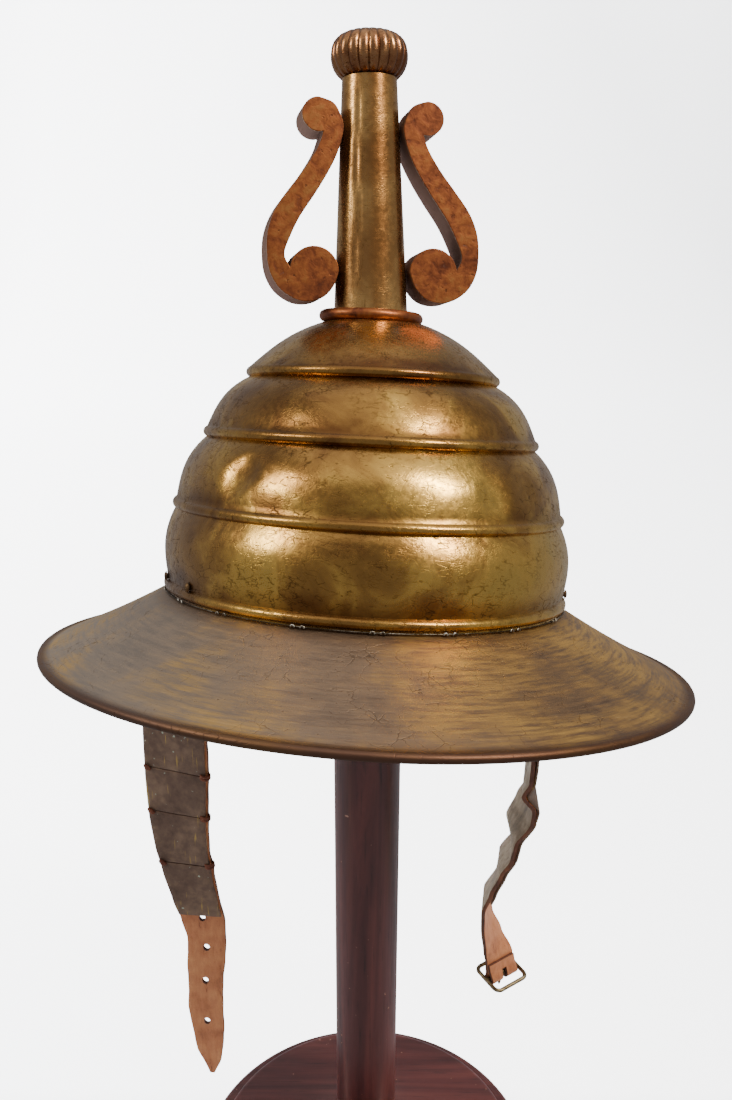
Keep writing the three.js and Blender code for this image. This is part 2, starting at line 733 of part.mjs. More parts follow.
hatTurned.add(
  named('crown', cutAll(crownGeometry(), crownHoles), materials.gilding),
  named('brim', brimGeometry(), materials.brimBrass),
);
for (const side of ['left', 'right']) {
  rivetBearings(side).forEach((bearing, i) => {
    const rivet = named(`rivet_${side}_${i + 1}`, rivetGeometry(), materials.rivetIron);
    rivet.applyMatrix4(rivetMatrix(bearing));
    hatTurned.add(rivet);
  });
}

function strapHoles() {
  const strap = straps.left;
  return LEFT_HOLES.map((share) => {
    const { middle, across } = courseAt(strap.course, strap.top, strap.drop, share);
    const face = new THREE.Vector3(across.y, -across.x, 0);
    const turn = new THREE.Quaternion().setFromUnitVectors(new THREE.Vector3(0, 1, 0), face);
    return new THREE.CylinderGeometry(HOLE_RADIUS, HOLE_RADIUS, 4 * LEATHER, 12)
      .applyQuaternion(turn)
      .translate(middle.x, middle.y, middle.z);
  });
}

const leftBand = strip(straps.left, 0, 1, LEATHER, 0, 0);
const leftRivets = crownHoles.slice(0, 2).map(inSpace);
const leftStrap = named('strap_left', cutAll(leftBand, [...leftRivets, ...strapHoles()]), materials.leather);

// Buckle: its bar lies in the loop at the end of the right strap.

const strapEnd = courseAt(RIGHT_COURSE, straps.right.top, RIGHT_DROP, 1);
const barDirection = new THREE.Vector3(Math.cos(BUCKLE_TURN * RADIANS), Math.sin(BUCKLE_TURN * RADIANS), 0);
const bar = new THREE.Vector3(strapEnd.middle.x, strapEnd.middle.y, strapEnd.middle.z);

// Axes for pieces on the bar: X along the bar, Y straight down turned towards the face by the swing.
function onBar(swing) {
  const group = new THREE.Group();
  const face = new THREE.Vector3(barDirection.y, -barDirection.x, 0);
  const down = new THREE.Vector3(0, 0, -1)
    .multiplyScalar(Math.cos(swing * RADIANS))
    .addScaledVector(face, Math.sin(swing * RADIANS));
  const normal = new THREE.Vector3().crossVectors(barDirection, down);
  group.matrix.makeBasis(barDirection, down, normal).setPosition(bar);
  group.matrix.decompose(group.position, group.quaternion, group.scale);
  return group;
}

function roundedRectangle(shape, halfLength, halfHeight, corner) {
  shape.moveTo(-halfLength + corner, -halfHeight);
  shape.lineTo(halfLength - corner, -halfHeight);
  shape.absarc(halfLength - corner, -halfHeight + corner, corner, -Math.PI / 2, 0, false);
  shape.lineTo(halfLength, halfHeight - corner);
  shape.absarc(halfLength - corner, halfHeight - corner, corner, 0, Math.PI / 2, false);
  shape.lineTo(-halfLength + corner, halfHeight);
  shape.absarc(-halfLength + corner, halfHeight - corner, corner, Math.PI / 2, Math.PI, false);
  shape.lineTo(-halfLength, -halfHeight + corner);
  shape.absarc(-halfLength + corner, -halfHeight + corner, corner, Math.PI, 1.5 * Math.PI, false);
  return shape;
}

function buckleGeometry() {
  const [length, height] = [BUCKLE_LENGTH / 2, BUCKLE_HEIGHT / 2];
  const bevel = BUCKLE_WIRE / 4;
  const outline = roundedRectangle(new THREE.Shape(), length - bevel, height - bevel, BUCKLE_CORNER);
  const inset = BUCKLE_WIRE - bevel;
  outline.holes.push(
    roundedRectangle(new THREE.Path(), length - inset, height - inset, BUCKLE_CORNER - BUCKLE_WIRE / 2),
  );
  const ring = new THREE.ExtrudeGeometry(outline, {
    depth: BUCKLE_WIRE - 2 * bevel,
    bevelThickness: bevel,
    bevelSize: bevel,
    bevelSegments: 1,
    curveSegments: 3,
  });
  ring.translate(0, 0, bevel - BUCKLE_WIRE / 2);
  const barLength = BUCKLE_LENGTH - BUCKLE_WIRE;
  const rod = new THREE.CylinderGeometry(BAR_RADIUS, BAR_RADIUS, barLength, 10).rotateZ(Math.PI / 2);
  return geometryFrom(solidFrom(ring).add(solidFrom(rod)));
}

// An eye round the bar and a straight tapering pin, cut from one plate.
function tongueGeometry() {
  const eye = BAR_RADIUS + GAP;
  const outline = new THREE.Shape();
  outline.absarc(0, 0, eye + TONGUE_EYE, 115 * RADIANS, 425 * RADIANS, false);
  outline.lineTo(TONGUE_POINT, TONGUE_LENGTH - TONGUE_POINT);
  outline.lineTo(0, TONGUE_LENGTH);
  outline.lineTo(-TONGUE_POINT, TONGUE_LENGTH - TONGUE_POINT);
  outline.holes.push(new THREE.Path().absarc(0, 0, eye, 0, 2 * Math.PI, true));
  const plate = new THREE.ExtrudeGeometry(outline, {
    depth: TONGUE_WIDTH,
    bevelEnabled: false,
    curveSegments: 10,
  });
  return plate.translate(0, 0, -TONGUE_WIDTH / 2).rotateY(Math.PI / 2);
}

// Doubled leather above the bar with a round end below it, bored for the bar, slotted for the tongue.
function loopGeometry() {
  const outer = BAR_RADIUS + GAP + LEATHER;
  const width = strapEnd.width;
  const outline = new THREE.Shape();
  const middle = LOOP_HEIGHT / 2;
  outline.absarc(0, 0, outer, Math.PI, 2 * Math.PI, false);
  outline.lineTo(LEATHER, middle);
  outline.lineTo(LEATHER, LOOP_HEIGHT);
  outline.lineTo(-LEATHER / 2, LOOP_HEIGHT + LEATHER);
  outline.lineTo(-0.75 * LEATHER, LOOP_HEIGHT);
  outline.lineTo(-LEATHER, middle);
  const loop = new THREE.ExtrudeGeometry(outline, { depth: width, bevelEnabled: false, curveSegments: 6 });
  loop.translate(0, 0, -width / 2).rotateY(Math.PI / 2).rotateX(Math.PI);
  return loop;
}

const hang = onBar(0);
hang.updateMatrixWorld(true);
const bore = new THREE.CylinderGeometry(BAR_RADIUS + GAP, BAR_RADIUS + GAP, 2 * BUCKLE_LENGTH, 12)
  .rotateZ(Math.PI / 2)
  .applyMatrix4(hang.matrixWorld);
const slotReach = BAR_RADIUS + GAP + 2 * LEATHER;
const slot = new THREE.BoxGeometry(SLOT_WIDTH, 2 * slotReach, 2 * slotReach)
  .translate(0, LEATHER / 2, 0)
  .applyMatrix4(hang.matrixWorld);

function rightStrapGeometry() {
  const bandEnd = 1 - (LOOP_HEIGHT - LEATHER) / RIGHT_DROP;
  const band = strip(straps.right, 0, bandEnd, LEATHER, 0, 0);
  const loop = loopGeometry().applyMatrix4(hang.matrixWorld);
  let solid = solidFrom(band).add(solidFrom(loop));
  for (const cutter of [...crownHoles.slice(2).map(inSpace), bore, slot]) {
    solid = solid.subtract(solidFrom(cutter));
  }
  return geometryFrom(solid);
}

const rightStrap = named('strap_right', rightStrapGeometry(), materials.leather);
const frameGroup = onBar(BUCKLE_SWING);
frameGroup.add(named('buckle_frame', buckleGeometry(), materials.buckleBrass));
const tongueGroup = onBar(TONGUE_SWING);
tongueGroup.add(named('buckle_tongue', tongueGeometry(), materials.buckleBrass));

// Stand

function baseGeometry() {
  const socket = POST_RADIUS + GAP;
  const soften = 3;
  const shoulder = arcPoints([BASE_TOP_RADIUS - soften, BASE_HEIGHT - soften], soften, 0, 90, 2);
  const step = arcPoints([BASE_RADIUS - soften, BASE_STEP_HEIGHT - soften], soften, 0, 90, 2);
  return turned(
    [
      [0, 0],
      [BASE_RADIUS - 1, 0],
      ...step,
      [BASE_TOP_RADIUS, BASE_STEP_HEIGHT],
      ...shoulder,
      [socket, BASE_HEIGHT],
      [socket, BASE_HEIGHT - SOCKET_DEPTH],
      [0, BASE_HEIGHT - SOCKET_DEPTH],
    ],
    36,
  );
}

function postGeometry() {
  const dome = arcPoints([0, POST_TOP - POST_RADIUS], POST_RADIUS, 0, 90, 5);
  dome[5][0] = 0;
  const foot = BASE_HEIGHT - SOCKET_DEPTH + GAP;
  return turned([[0, foot], [POST_RADIUS, foot], ...dome], 28);
}

const hatOnStand = new THREE.Group();
hatOnStand.add(
  named('stand_base', baseGeometry(), materials.mahogany),
  named('stand_post', postGeometry(), materials.mahogany),
  hatTilt,
  leftStrap,
  rightStrap,
  ...plateMeshes('left'),
  ...plateMeshes('right'),
  frameGroup,
  tongueGroup,
);

export default hatOnStand;
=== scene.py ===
# %% [markdown]
# # Kettle hat on a wooden stand
# The hat is a tall crown of four bulging tiers, a wide brim, and a finial like a lyre. Two halves of a chin
# strap hang from it. It leans back on a turned post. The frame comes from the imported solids, and every
# piece below is modelled in that same place and size, then takes the place of its plain solid.

import math

import bpy
from mathutils import Matrix, Vector


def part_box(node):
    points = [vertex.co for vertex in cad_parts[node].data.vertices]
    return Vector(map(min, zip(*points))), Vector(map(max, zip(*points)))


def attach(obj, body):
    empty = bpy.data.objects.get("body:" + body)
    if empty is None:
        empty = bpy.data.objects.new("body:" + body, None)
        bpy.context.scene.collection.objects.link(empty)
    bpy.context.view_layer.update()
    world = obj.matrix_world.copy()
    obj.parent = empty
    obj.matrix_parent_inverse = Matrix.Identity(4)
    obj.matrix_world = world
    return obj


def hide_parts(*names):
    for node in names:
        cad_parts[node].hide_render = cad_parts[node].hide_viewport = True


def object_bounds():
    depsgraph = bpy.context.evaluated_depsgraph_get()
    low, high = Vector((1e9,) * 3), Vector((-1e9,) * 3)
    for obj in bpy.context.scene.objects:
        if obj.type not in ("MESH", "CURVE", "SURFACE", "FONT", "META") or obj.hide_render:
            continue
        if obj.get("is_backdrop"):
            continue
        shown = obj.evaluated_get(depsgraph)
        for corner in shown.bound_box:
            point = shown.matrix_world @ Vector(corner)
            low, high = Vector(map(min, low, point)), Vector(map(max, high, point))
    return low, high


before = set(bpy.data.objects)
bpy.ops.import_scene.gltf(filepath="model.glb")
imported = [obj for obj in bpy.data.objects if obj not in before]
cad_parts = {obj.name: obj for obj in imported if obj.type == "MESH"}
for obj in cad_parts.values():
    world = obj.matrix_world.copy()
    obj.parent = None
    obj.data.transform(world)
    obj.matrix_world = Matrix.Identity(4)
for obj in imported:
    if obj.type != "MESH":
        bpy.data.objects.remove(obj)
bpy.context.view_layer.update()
MM = 0.001
print("pieces in the frame:", len(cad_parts))

# %% [markdown]
# ## Where the hat stands
# The hat is easiest to model upright, with its rim on the floor at the origin. It is then put on the stand
# in one move: turned 12 degrees, leaned 18 degrees back and a little to one side, and raised until it
# bears on the post. Applying the move keeps every finished object at the origin, with its place in its
# mesh.

# %% Where the hat stands
def turned_by(degrees, axis):
    return Matrix.Rotation(math.radians(degrees), 4, axis)


LEAN = Matrix.Translation((-0.0044, -0.0247, 0.37683)) @ turned_by(-18, "X") @ turned_by(2.5, "Y")
HAT = LEAN @ turned_by(12, "Z")
SEAT = LEAN @ Matrix.Translation((-0.00175, 0, 0.1603))
FINIAL = SEAT @ turned_by(-3, "Y") @ turned_by(12, "Z")
OVAL = 1.22


def put_down_all():
    if bpy.context.object and bpy.context.object.mode != "OBJECT":
        bpy.ops.object.mode_set(mode="OBJECT")
    bpy.ops.object.select_all(action="DESELECT")


def take_up(piece):
    put_down_all()
    piece.select_set(True)
    bpy.context.view_layer.objects.active = piece


def choose(piece, wanted):
    """Selects only the points of a piece that pass a test."""
    take_up(piece)
    bpy.ops.object.mode_set(mode="EDIT")
    bpy.ops.mesh.select_mode(type="VERT")
    bpy.ops.mesh.select_all(action="DESELECT")
    bpy.ops.object.mode_set(mode="OBJECT")
    for point in piece.data.vertices:
        point.select = wanted(point.co)


def put_at(piece, place):
    """Moves a piece by a matrix and applies the move to its mesh."""
    take_up(piece)
    piece.matrix_world = place @ piece.matrix_world
    bpy.ops.object.transform_apply(location=True, rotation=True, scale=True)


def smooth(piece, degrees=35):
    take_up(piece)
    bpy.ops.object.shade_smooth_by_angle(angle=math.radians(degrees))


def copy_of(piece):
    copy = piece.copy()
    copy.data = piece.data.copy()
    bpy.context.collection.objects.link(copy)
    return copy


def join_up(pieces, name):
    """Joins all the pieces into the first of them."""
    take_up(pieces[0])
    for piece in pieces:
        piece.select_set(True)
    bpy.ops.object.join()
    pieces[0].name = name
    return pieces[0]


def matrix_of(directions, origin):
    """A matrix from three directions and a place in millimetres."""
    place = Matrix.Identity(4)
    for i, direction in enumerate(directions):
        place.col[i][:3] = direction
    place.col[3][:3] = origin * MM
    return place


def count_triangles(piece):
    return sum(len(face.vertices) - 2 for face in piece.data.polygons)


print("the rim's centre is", [round(v, 3) for v in HAT.translation], "m from the floor's origin")

# %% [markdown]
# ## A helper for round pieces
# A metalworker spins or raises a round piece over a form, and its section tells its whole shape. So one
# point is extruded along the section, and the finished line is spun once round. Stretching the result
# front to back gives the oval of a head.

# %% A helper for round pieces
def begin_line(name, place):
    """A new mesh of one point, left in edit mode."""
    put_down_all()
    bpy.ops.mesh.primitive_plane_add(size=MM)
    piece = bpy.context.object
    piece.name = name
    bpy.ops.object.mode_set(mode="EDIT")
    bpy.ops.mesh.merge(type="CENTER")
    bpy.ops.transform.translate(value=place)
    return piece


def draw_on(points, unit=MM):
    """Extrudes the chosen point along a line of (x, z) points."""
    for (x0, z0), (x1, z1) in zip(points, points[1:]):
        step = ((x1 - x0) * unit, 0, (z1 - z0) * unit)
        bpy.ops.mesh.extrude_region_move(TRANSFORM_OT_translate={"value": step})


def spin_section(name, section, steps, stretch=1.0):
    """A solid of revolution from (radius, height) pairs in millimetres that close or end on the axis."""
    piece = begin_line(name, (section[0][0] * MM, 0, section[0][1] * MM))
    draw_on(section)
    bpy.ops.mesh.select_all(action="SELECT")
    bpy.ops.mesh.spin(steps=steps, angle=2 * math.pi, center=(0, 0, 0), axis=(0, 0, 1))
    bpy.ops.mesh.select_all(action="SELECT")
    bpy.ops.mesh.remove_doubles(threshold=1e-6)
    bpy.ops.mesh.normals_make_consistent(inside=False)
    bpy.ops.transform.resize(value=(1, stretch, 1), center_override=(0, 0, 0))
    bpy.ops.object.mode_set(mode="OBJECT")
    return piece


def close_up(apart):
    """Merges points that are less than apart from each other, turns the faces outwards, ends edit mode."""
    bpy.ops.mesh.select_all(action="SELECT")
    if apart:
        bpy.ops.mesh.remove_doubles(threshold=apart)
    bpy.ops.mesh.normals_make_consistent(inside=False)
    bpy.ops.object.mode_set(mode="OBJECT")


def arc(centre, radius, start, end, steps):
    """Points of an arc in the section, from one angle to another in degrees."""
    turns = [math.radians(start + (end - start) * i / steps) for i in range(steps + 1)]
    return [(centre[0] + radius * math.cos(t), centre[1] + radius * math.sin(t)) for t in turns]


# %% [markdown]
# ## The crown
# On the real hat this is one bowl of thin sheet, hammered out into four tiers. A raised half-round bead
# ends each tier, and the last bead is the foot that sits on the brim. The section is written from the
# finial's seat down the outside, round the plain edge and back up the lining, so the wall is
# as thick as it should be without a modifier.

# %% The crown's section
CROWN_HEIGHT, SEAT_RADIUS, FOOT_RADIUS = 160.3, 24, 92.8
SHEET, BEAD_ROUND = 2, 2.6
BEADS = [(59.65, 135.3, 2.5), (78.85, 106.4, 3.2), (92.15, 72.5, 3.2), (95.0, 34.5, 3.2)]


def tier(start, end, bulge, steps):
    """The bulging wall between two beads, without its two end points."""
    run = math.hypot(end[0] - start[0], end[1] - start[1])
    points = []
    for i in range(1, steps):
        share = i / steps
        lift = bulge * math.sin(math.pi * share**0.9)
        r = start[0] + (end[0] - start[0]) * share + lift * (start[1] - end[1]) / run
        z = start[1] + (end[1] - start[1]) * share + lift * (end[0] - start[0]) / run
        points.append((r, z))
    return points


outside = [(0, CROWN_HEIGHT), (SEAT_RADIUS, CROWN_HEIGHT)]
lining = [(0, CROWN_HEIGHT - SHEET), (SEAT_RADIUS, CROWN_HEIGHT - SHEET)]
start = outside[1]
for width, height, bulge in BEADS:
    bead = arc((width - BEAD_ROUND, height), BEAD_ROUND, 66, -66, 8)
    corner = (bead[0][0] - 0.25, bead[0][1] + 0.25)
    wall = tier(start, corner, bulge, 12)
    outside += wall + [corner] + bead
    lining += [(r - SHEET, z - 1) for r, z in wall[1::3]] + [(bead[-1][0] - SHEET, height)]
    start = bead[-1]
foot_edge = BEADS[-1][1] - 7.5
outside += [(FOOT_RADIUS, start[1] - 0.3), (FOOT_RADIUS, foot_edge)]
lining += [(FOOT_RADIUS - SHEET, start[1] - SHEET), (FOOT_RADIUS - SHEET, foot_edge)]
crown = spin_section("crown_sheet", outside + lining[::-1], 176, OVAL)
print("crown section points:", len(outside) + len(lining))

# %% [markdown]
# ## Dents in the crown
# Two old blows flattened the third tier, and there is a crease beside the larger one. Softer dents are
# beside it and on the tiers above and below. A dent is pushed in as a hand would: a short row of points
# is selected and moved towards the axis with proportional editing, so that the sheet around it follows.

# %% Dents in the crown
def crown_point(bearing, radius, height):
    t = math.radians(bearing)
    return Vector((radius * math.cos(t), OVAL * radius * math.sin(t), height)) * MM


def push_dent(bearing, height, radius, half_length, reach, depth, tilt=0.0, falloff="SMOOTH"):
    """Pushes a short line of points inwards. Lengths are in millimetres."""
    centre = crown_point(bearing, radius, height)
    inward = -Vector((centre.x, centre.y, 0)).normalized()
    along = Vector((-inward.y, inward.x, 0)) * math.cos(tilt) + Vector((0, 0, math.sin(tilt)))

    def on_the_line(point):
        away = point - centre
        run = max(-half_length * MM, min(half_length * MM, away.dot(along)))
        return (away - along * run).length < 3.2 * MM

    choose(crown, on_the_line)
    bpy.ops.object.mode_set(mode="EDIT")
    bpy.ops.transform.translate(
        value=inward * depth * MM,
        use_proportional_edit=True,
        proportional_edit_falloff=falloff,
        proportional_size=reach * MM,
    )
    bpy.ops.object.mode_set(mode="OBJECT")


push_dent(272.5, 90.8, 89.5, 10, 9, 2.7, falloff="SPHERE")
push_dent(218, 91.3, 89.5, 5, 8.5, 2.4, tilt=-0.7, falloff="SPHERE")
push_dent(291, 90, 89.5, 4.5, 5, 1.3, tilt=1.4, falloff="SPHERE")
push_dent(304, 92, 89.5, 5, 12, 0.7, tilt=0.9)
push_dent(262, 121, 72, 7, 14, 0.6)
push_dent(255, 52, 98, 12, 17, 0.8, tilt=0.2)
push_dent(300, 58, 98, 6, 14, 0.6)
smooth(crown, 50)
put_at(crown, HAT)
print("crown triangles:", count_triangles(crown))

# %% [markdown]
# ## The brim
# A shallow cone of sheet, cut oval and rolled over a wire at its edge. A narrow groove runs inside the
# roll. The section again carries both faces, and the cone sags a little between crown and rim.

# %% The brim
NECK, NECK_TOP, BRIM_SHEET = 93.1, 30.96, 1.6
ROLL_MIDDLE, ROLL_ROUND = 150.3, 2.0
roll = arc((ROLL_MIDDLE, 0), ROLL_ROUND, 122, -160, 14)
rise = [0.03, 0.08, 0.16, 0.25, 0.35, 0.45, 0.55, 0.65, 0.75, 0.84, 0.91, 0.96]
groove = {0.91: 0.12, 0.96: 0.35}
upper = [(NECK, NECK_TOP)]
for share in rise:
    fall = 1.2 * math.sin(math.pi * share) + groove.get(share, 0)
    r = NECK + (roll[0][0] - NECK) * share
    upper.append((r, NECK_TOP + (roll[0][1] - NECK_TOP) * share - fall))
under = [(r, z - BRIM_SHEET) for r, z in upper[1:]]
section = upper + roll + under[::-1] + [(NECK, NECK_TOP - BRIM_SHEET), (NECK, NECK_TOP)]
brim = spin_section("brim_sheet", section, 200, OVAL)
smooth(brim, 40)
put_at(brim, HAT)
print("brim triangles:", count_triangles(brim))

# %% [markdown]
# ## The seam between crown and brim
# A fine steel wire lies in the corner under the foot bead and is caught down by small wire stitches, in
# pairs, every twenty degrees or so. The wire is a torus stretched to the oval. One stitch is modelled as
# a bent staple and copied round.

# %% The seam wire and its stitches
put_down_all()
bpy.ops.mesh.primitive_torus_add(
    major_radius=0.0942, minor_radius=0.00026, major_segments=160, minor_segments=8, location=(0, 0, 0.0314)
)
wire = bpy.context.object
wire.name = "seam_wire"
bpy.ops.object.transform_apply(location=True)
bpy.ops.object.mode_set(mode="EDIT")
bpy.ops.transform.resize(value=(1, OVAL, 1), center_override=(0, 0, 0))
bpy.ops.object.mode_set(mode="OBJECT")
smooth(wire, 80)
put_at(wire, HAT)


def make_stitch():
    """A small staple: a round wire bent over between two points, lying along X."""
    put_down_all()
    bpy.ops.mesh.primitive_circle_add(vertices=8, radius=0.00042, fill_type="NGON", rotation=(0, 0, 0))
    staple = bpy.context.object
    bpy.ops.object.transform_apply(rotation=True)
    bpy.ops.object.mode_set(mode="EDIT")
    bpy.ops.transform.translate(value=(-0.0008, 0, 0))
    bpy.ops.mesh.spin(steps=8, angle=-math.pi, center=(0, 0, 0), axis=(0, 1, 0))
    close_up(1e-6)
    return staple


SEAM_RADIUS = 0.0946
STITCHES = [217.5, 240, 259.5, 277.5, 297.5, 318, 338, 358, 18, 38, 58, 78, 98, 118, 138, 158, 178, 198]
stitch = make_stitch()
stitch_box = (min(v.co.z for v in stitch.data.vertices), max(v.co.z for v in stitch.data.vertices))
stitches = []
for bearing in STITCHES:
    for side in (-1, 1):
        copy = copy_of(stitch)
        t = math.radians(bearing + side * 1.25)
        heading = math.atan2(OVAL * math.cos(t), -math.sin(t))
        at = Vector((SEAM_RADIUS * math.cos(t), SEAM_RADIUS * OVAL * math.sin(t), 0.0311))
        put_at(copy, HAT @ Matrix.Translation(at) @ Matrix.Rotation(heading, 4, "Z"))
        stitches.append(copy)
bpy.data.objects.remove(stitch)
seam_stitches = join_up(stitches, "seam_stitches")
smooth(seam_stitches, 60)
print("stitches:", 2 * len(STITCHES), "one is", [round(v * 1000, 2) for v in stitch_box], "mm high")

# %% [markdown]
# ## The rivets
# Four dark rivets hold the strap halves to the crown, a pair on each side just above the foot bead. Each
# is a short turned piece: a worn domed head, the shank through the sheet, and the flattened end inside.

# %% The rivets
RIVET_HEAD = [(0, 1.2), (0.9, 1.12), (1.6, 0.8), (2.1, 0.35), (2.2, 0), (1.3, 0), (1.3, -8.8)]
RIVET_END = [(2.1, -8.8), (2.1, -9.5), (1.5, -9.8), (0, -9.8)]
rivets = {}
for name, bearing in (("left_1", 182), ("left_2", 202), ("right_1", -22), ("right_2", -2)):
    low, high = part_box("rivet_" + name)
    rivet = spin_section("rivet_head_" + name, RIVET_HEAD + RIVET_END, 20)
    t = math.radians(bearing)
    out = Vector((OVAL * math.cos(t), math.sin(t), 0)).normalized()
    at = crown_point(bearing, 94, 38.5) + out * 0.0003
    smooth(rivet, 40)
    put_at(rivet, HAT @ Matrix.Translation(at) @ out.to_track_quat("Z", "Y").to_matrix().to_4x4())
    corners = [Vector(corner) for corner in rivet.bound_box]
    middle = sum(corners, Vector()) / 8
    print(name, "is off its solid's middle by", round((middle - (low + high) / 2).length * 1000, 2), "mm")
    rivets[name] = rivet

# %% [markdown]
# ## The finial's tube, collar and knob
# The tube is rolled sheet, tapering upwards, and a half-round ring hides its joint with the crown. The
# knob is a squashed ring of twenty-one lobes. One lobe is a slice of the knob, its middle lines pulled
# out from the axis, and it is copied round and merged.

# %% The tube and its collar
TUBE_FOOT, TUBE_TOP, TUBE_HEIGHT, TUBE_USUAL = 17.6, 12.9, 112.5, 15
CREASES = [(236, 95, 9, 0.5), (233, 72, 12, 0.55), (239, 52, 10, 0.45), (232, 30, 9, 0.4)]


def tube_radius(height):
    return TUBE_FOOT + (TUBE_TOP - TUBE_FOOT) * height / TUBE_HEIGHT


tube_side = [(tube_radius(h), h) for h in [1.22, 1.8] + [TUBE_HEIGHT * i / 24 for i in range(1, 24)]]
tube_section = [(17.5, 1.22)] + tube_side[1:]
tube_section += [(TUBE_TOP, TUBE_HEIGHT), (TUBE_TOP - 2, TUBE_HEIGHT), (15.5, 1.22), (17.5, 1.22)]
tube = spin_section("finial_tube", tube_section, 96)
for bearing, height, length, depth in CREASES:

    def in_the_crease(point):
        turn = math.degrees(math.atan2(point.y, point.x)) % 360
        outer = point.xy.length > (tube_radius(point.z / MM) - 1) * MM
        return outer and abs(turn - bearing) < 2.2 and abs(point.z / MM - height) < length

    choose(tube, in_the_crease)
    pinch = 1 - depth / TUBE_USUAL
    bpy.ops.object.mode_set(mode="EDIT")
    bpy.ops.transform.resize(
        value=(pinch, pinch, 1),
        center_override=(0, 0, height * MM),
        use_proportional_edit=True,
        proportional_edit_falloff="SHARP",
        proportional_size=0.003,
    )
    bpy.ops.mesh.select_all(action="DESELECT")
    bpy.ops.object.mode_set(mode="OBJECT")
smooth(tube, 50)
put_at(tube, FINIAL)

BORE, RING_WIDE, RING_ROUND = 18.19, 6.5, 2.75
ring = arc((BORE + RING_WIDE - RING_ROUND, 3.05), RING_ROUND, -90, 90, 12)
collar = spin_section("finial_ring", [(BORE, 0.3)] + ring + [(BORE, 5.8), (BORE, 0.3)], 96)
smooth(collar, 40)
put_at(collar, SEAT)

# %% The lobed knob
LOBES, LOBE_STEPS = 21, 8
KNOB_FOOT, KNOB_RADIUS, KNOB_TALL, RIB = 112.8, 18.3, 20.6, 1.3
CORE = KNOB_RADIUS - RIB
KNOB_SECTION = [
    (0.0, 0.99), (0.3, 0.995), (0.5, 0.99), (0.68, 0.955), (0.82, 0.885), (0.91, 0.79), (0.965, 0.68),
    (0.99, 0.56), (0.99, 0.44), (0.965, 0.32), (0.92, 0.21), (0.86, 0.12), (0.79, 0.05), (0.72, 0.0),
    (0.0, 0.0),
]


def make_lobe():
    """One slice of the knob, its middle pulled out into a rounded rib."""
    rows = [(r * CORE * MM, (KNOB_FOOT + up * KNOB_TALL) * MM) for r, up in KNOB_SECTION]
    lobe = begin_line("knob_lobes", (rows[0][0], 0, rows[0][1]))
    draw_on(rows, 1)
    bpy.ops.mesh.select_all(action="SELECT")
    bpy.ops.mesh.spin(steps=LOBE_STEPS, angle=2 * math.pi / LOBES, center=(0, 0, 0), axis=(0, 0, 1))
    bpy.ops.object.mode_set(mode="OBJECT")
    turns = [math.atan2(v.co.y, v.co.x) for v in lobe.data.vertices if v.co.xy.length > 1e-5]
    first, last = min(turns), max(turns)
    for i in range(1, LOBE_STEPS):
        here = first + (last - first) * i / LOBE_STEPS

        def on_this_line(point):
            return point.xy.length > 0.006 and abs(math.atan2(point.y, point.x) - here) < 1e-3

        choose(lobe, on_this_line)
        pull = 1 + RIB / CORE * math.sin(math.pi * i / LOBE_STEPS) ** 0.6
        bpy.ops.object.mode_set(mode="EDIT")
        bpy.ops.transform.resize(value=(pull, pull, 1), center_override=(0, 0, KNOB_FOOT * MM))
        bpy.ops.object.mode_set(mode="OBJECT")
    return lobe


lobe = make_lobe()
lobes = [lobe]
for i in range(1, LOBES):
    copy = copy_of(lobe)
    put_at(copy, Matrix.Rotation(2 * math.pi * i / LOBES, 4, "Z"))
    lobes.append(copy)
knob = join_up(lobes, "knob_lobes")
bpy.ops.object.mode_set(mode="EDIT")
close_up(5e-6)
smooth(knob, 60)
put_at(knob, FINIAL)
print("knob triangles:", count_triangles(knob))

# %% [markdown]
# ## The side scrolls
# Two thick boards, sawn to the same S and stood beside the tube like the arms of a lyre. Their faces are
# flat and their edges square with worn corners. The outline is drawn point by point, filled, pulled out
# to the board's thickness, and its corners are bevelled.

# %% The side scrolls
SCROLL_TALL, SCROLL_WIDE, SCROLL_FOOT, SCROLL_THICK = 92.2, 34.0, 9.5, 19.0
NEAR_EDGE = [
    (0.151, 0.974), (0.047, 0.917), (0, 0.848), (0.07, 0.734), (0.199, 0.631), (0.372, 0.523),
    (0.562, 0.414), (0.691, 0.311), (0.755, 0.23),
]
FAR_EDGE = [
    (0.07, 0.075), (0.21, 0.02), (0.405, 0), (0.612, 0.013), (0.824, 0.067), (0.955, 0.149), (1, 0.246),
    (0.99, 0.349), (0.893, 0.452), (0.705, 0.555), (0.51, 0.653), (0.346, 0.756),
]


def scroll_place(out, up):
    h = SCROLL_FOOT + up * SCROLL_TALL
    return (tube_radius(h) + 0.3 + out * SCROLL_WIDE, h)


def part_way(a, b, c, d, t):
    """A value between b and c on a smooth curve that a and d steer."""
    square, cube = (2 * a - 5 * b + 4 * c - d) * t**2, (3 * b - a - 3 * c + d) * t**3
    return 0.5 * (2 * b + (c - a) * t + square + cube)


def through(points, steps):
    """A smooth line through the given points."""
    line = []
    for i in range(len(points) - 1):
        p0, p1 = points[max(0, i - 1)], points[i]
        p2, p3 = points[i + 1], points[min(len(points) - 1, i + 2)]
        for k in range(steps):
            t = k / steps
            line.append(tuple(part_way(*four, t) for four in zip(p0, p1, p2, p3)))
    return line + [points[-1]]


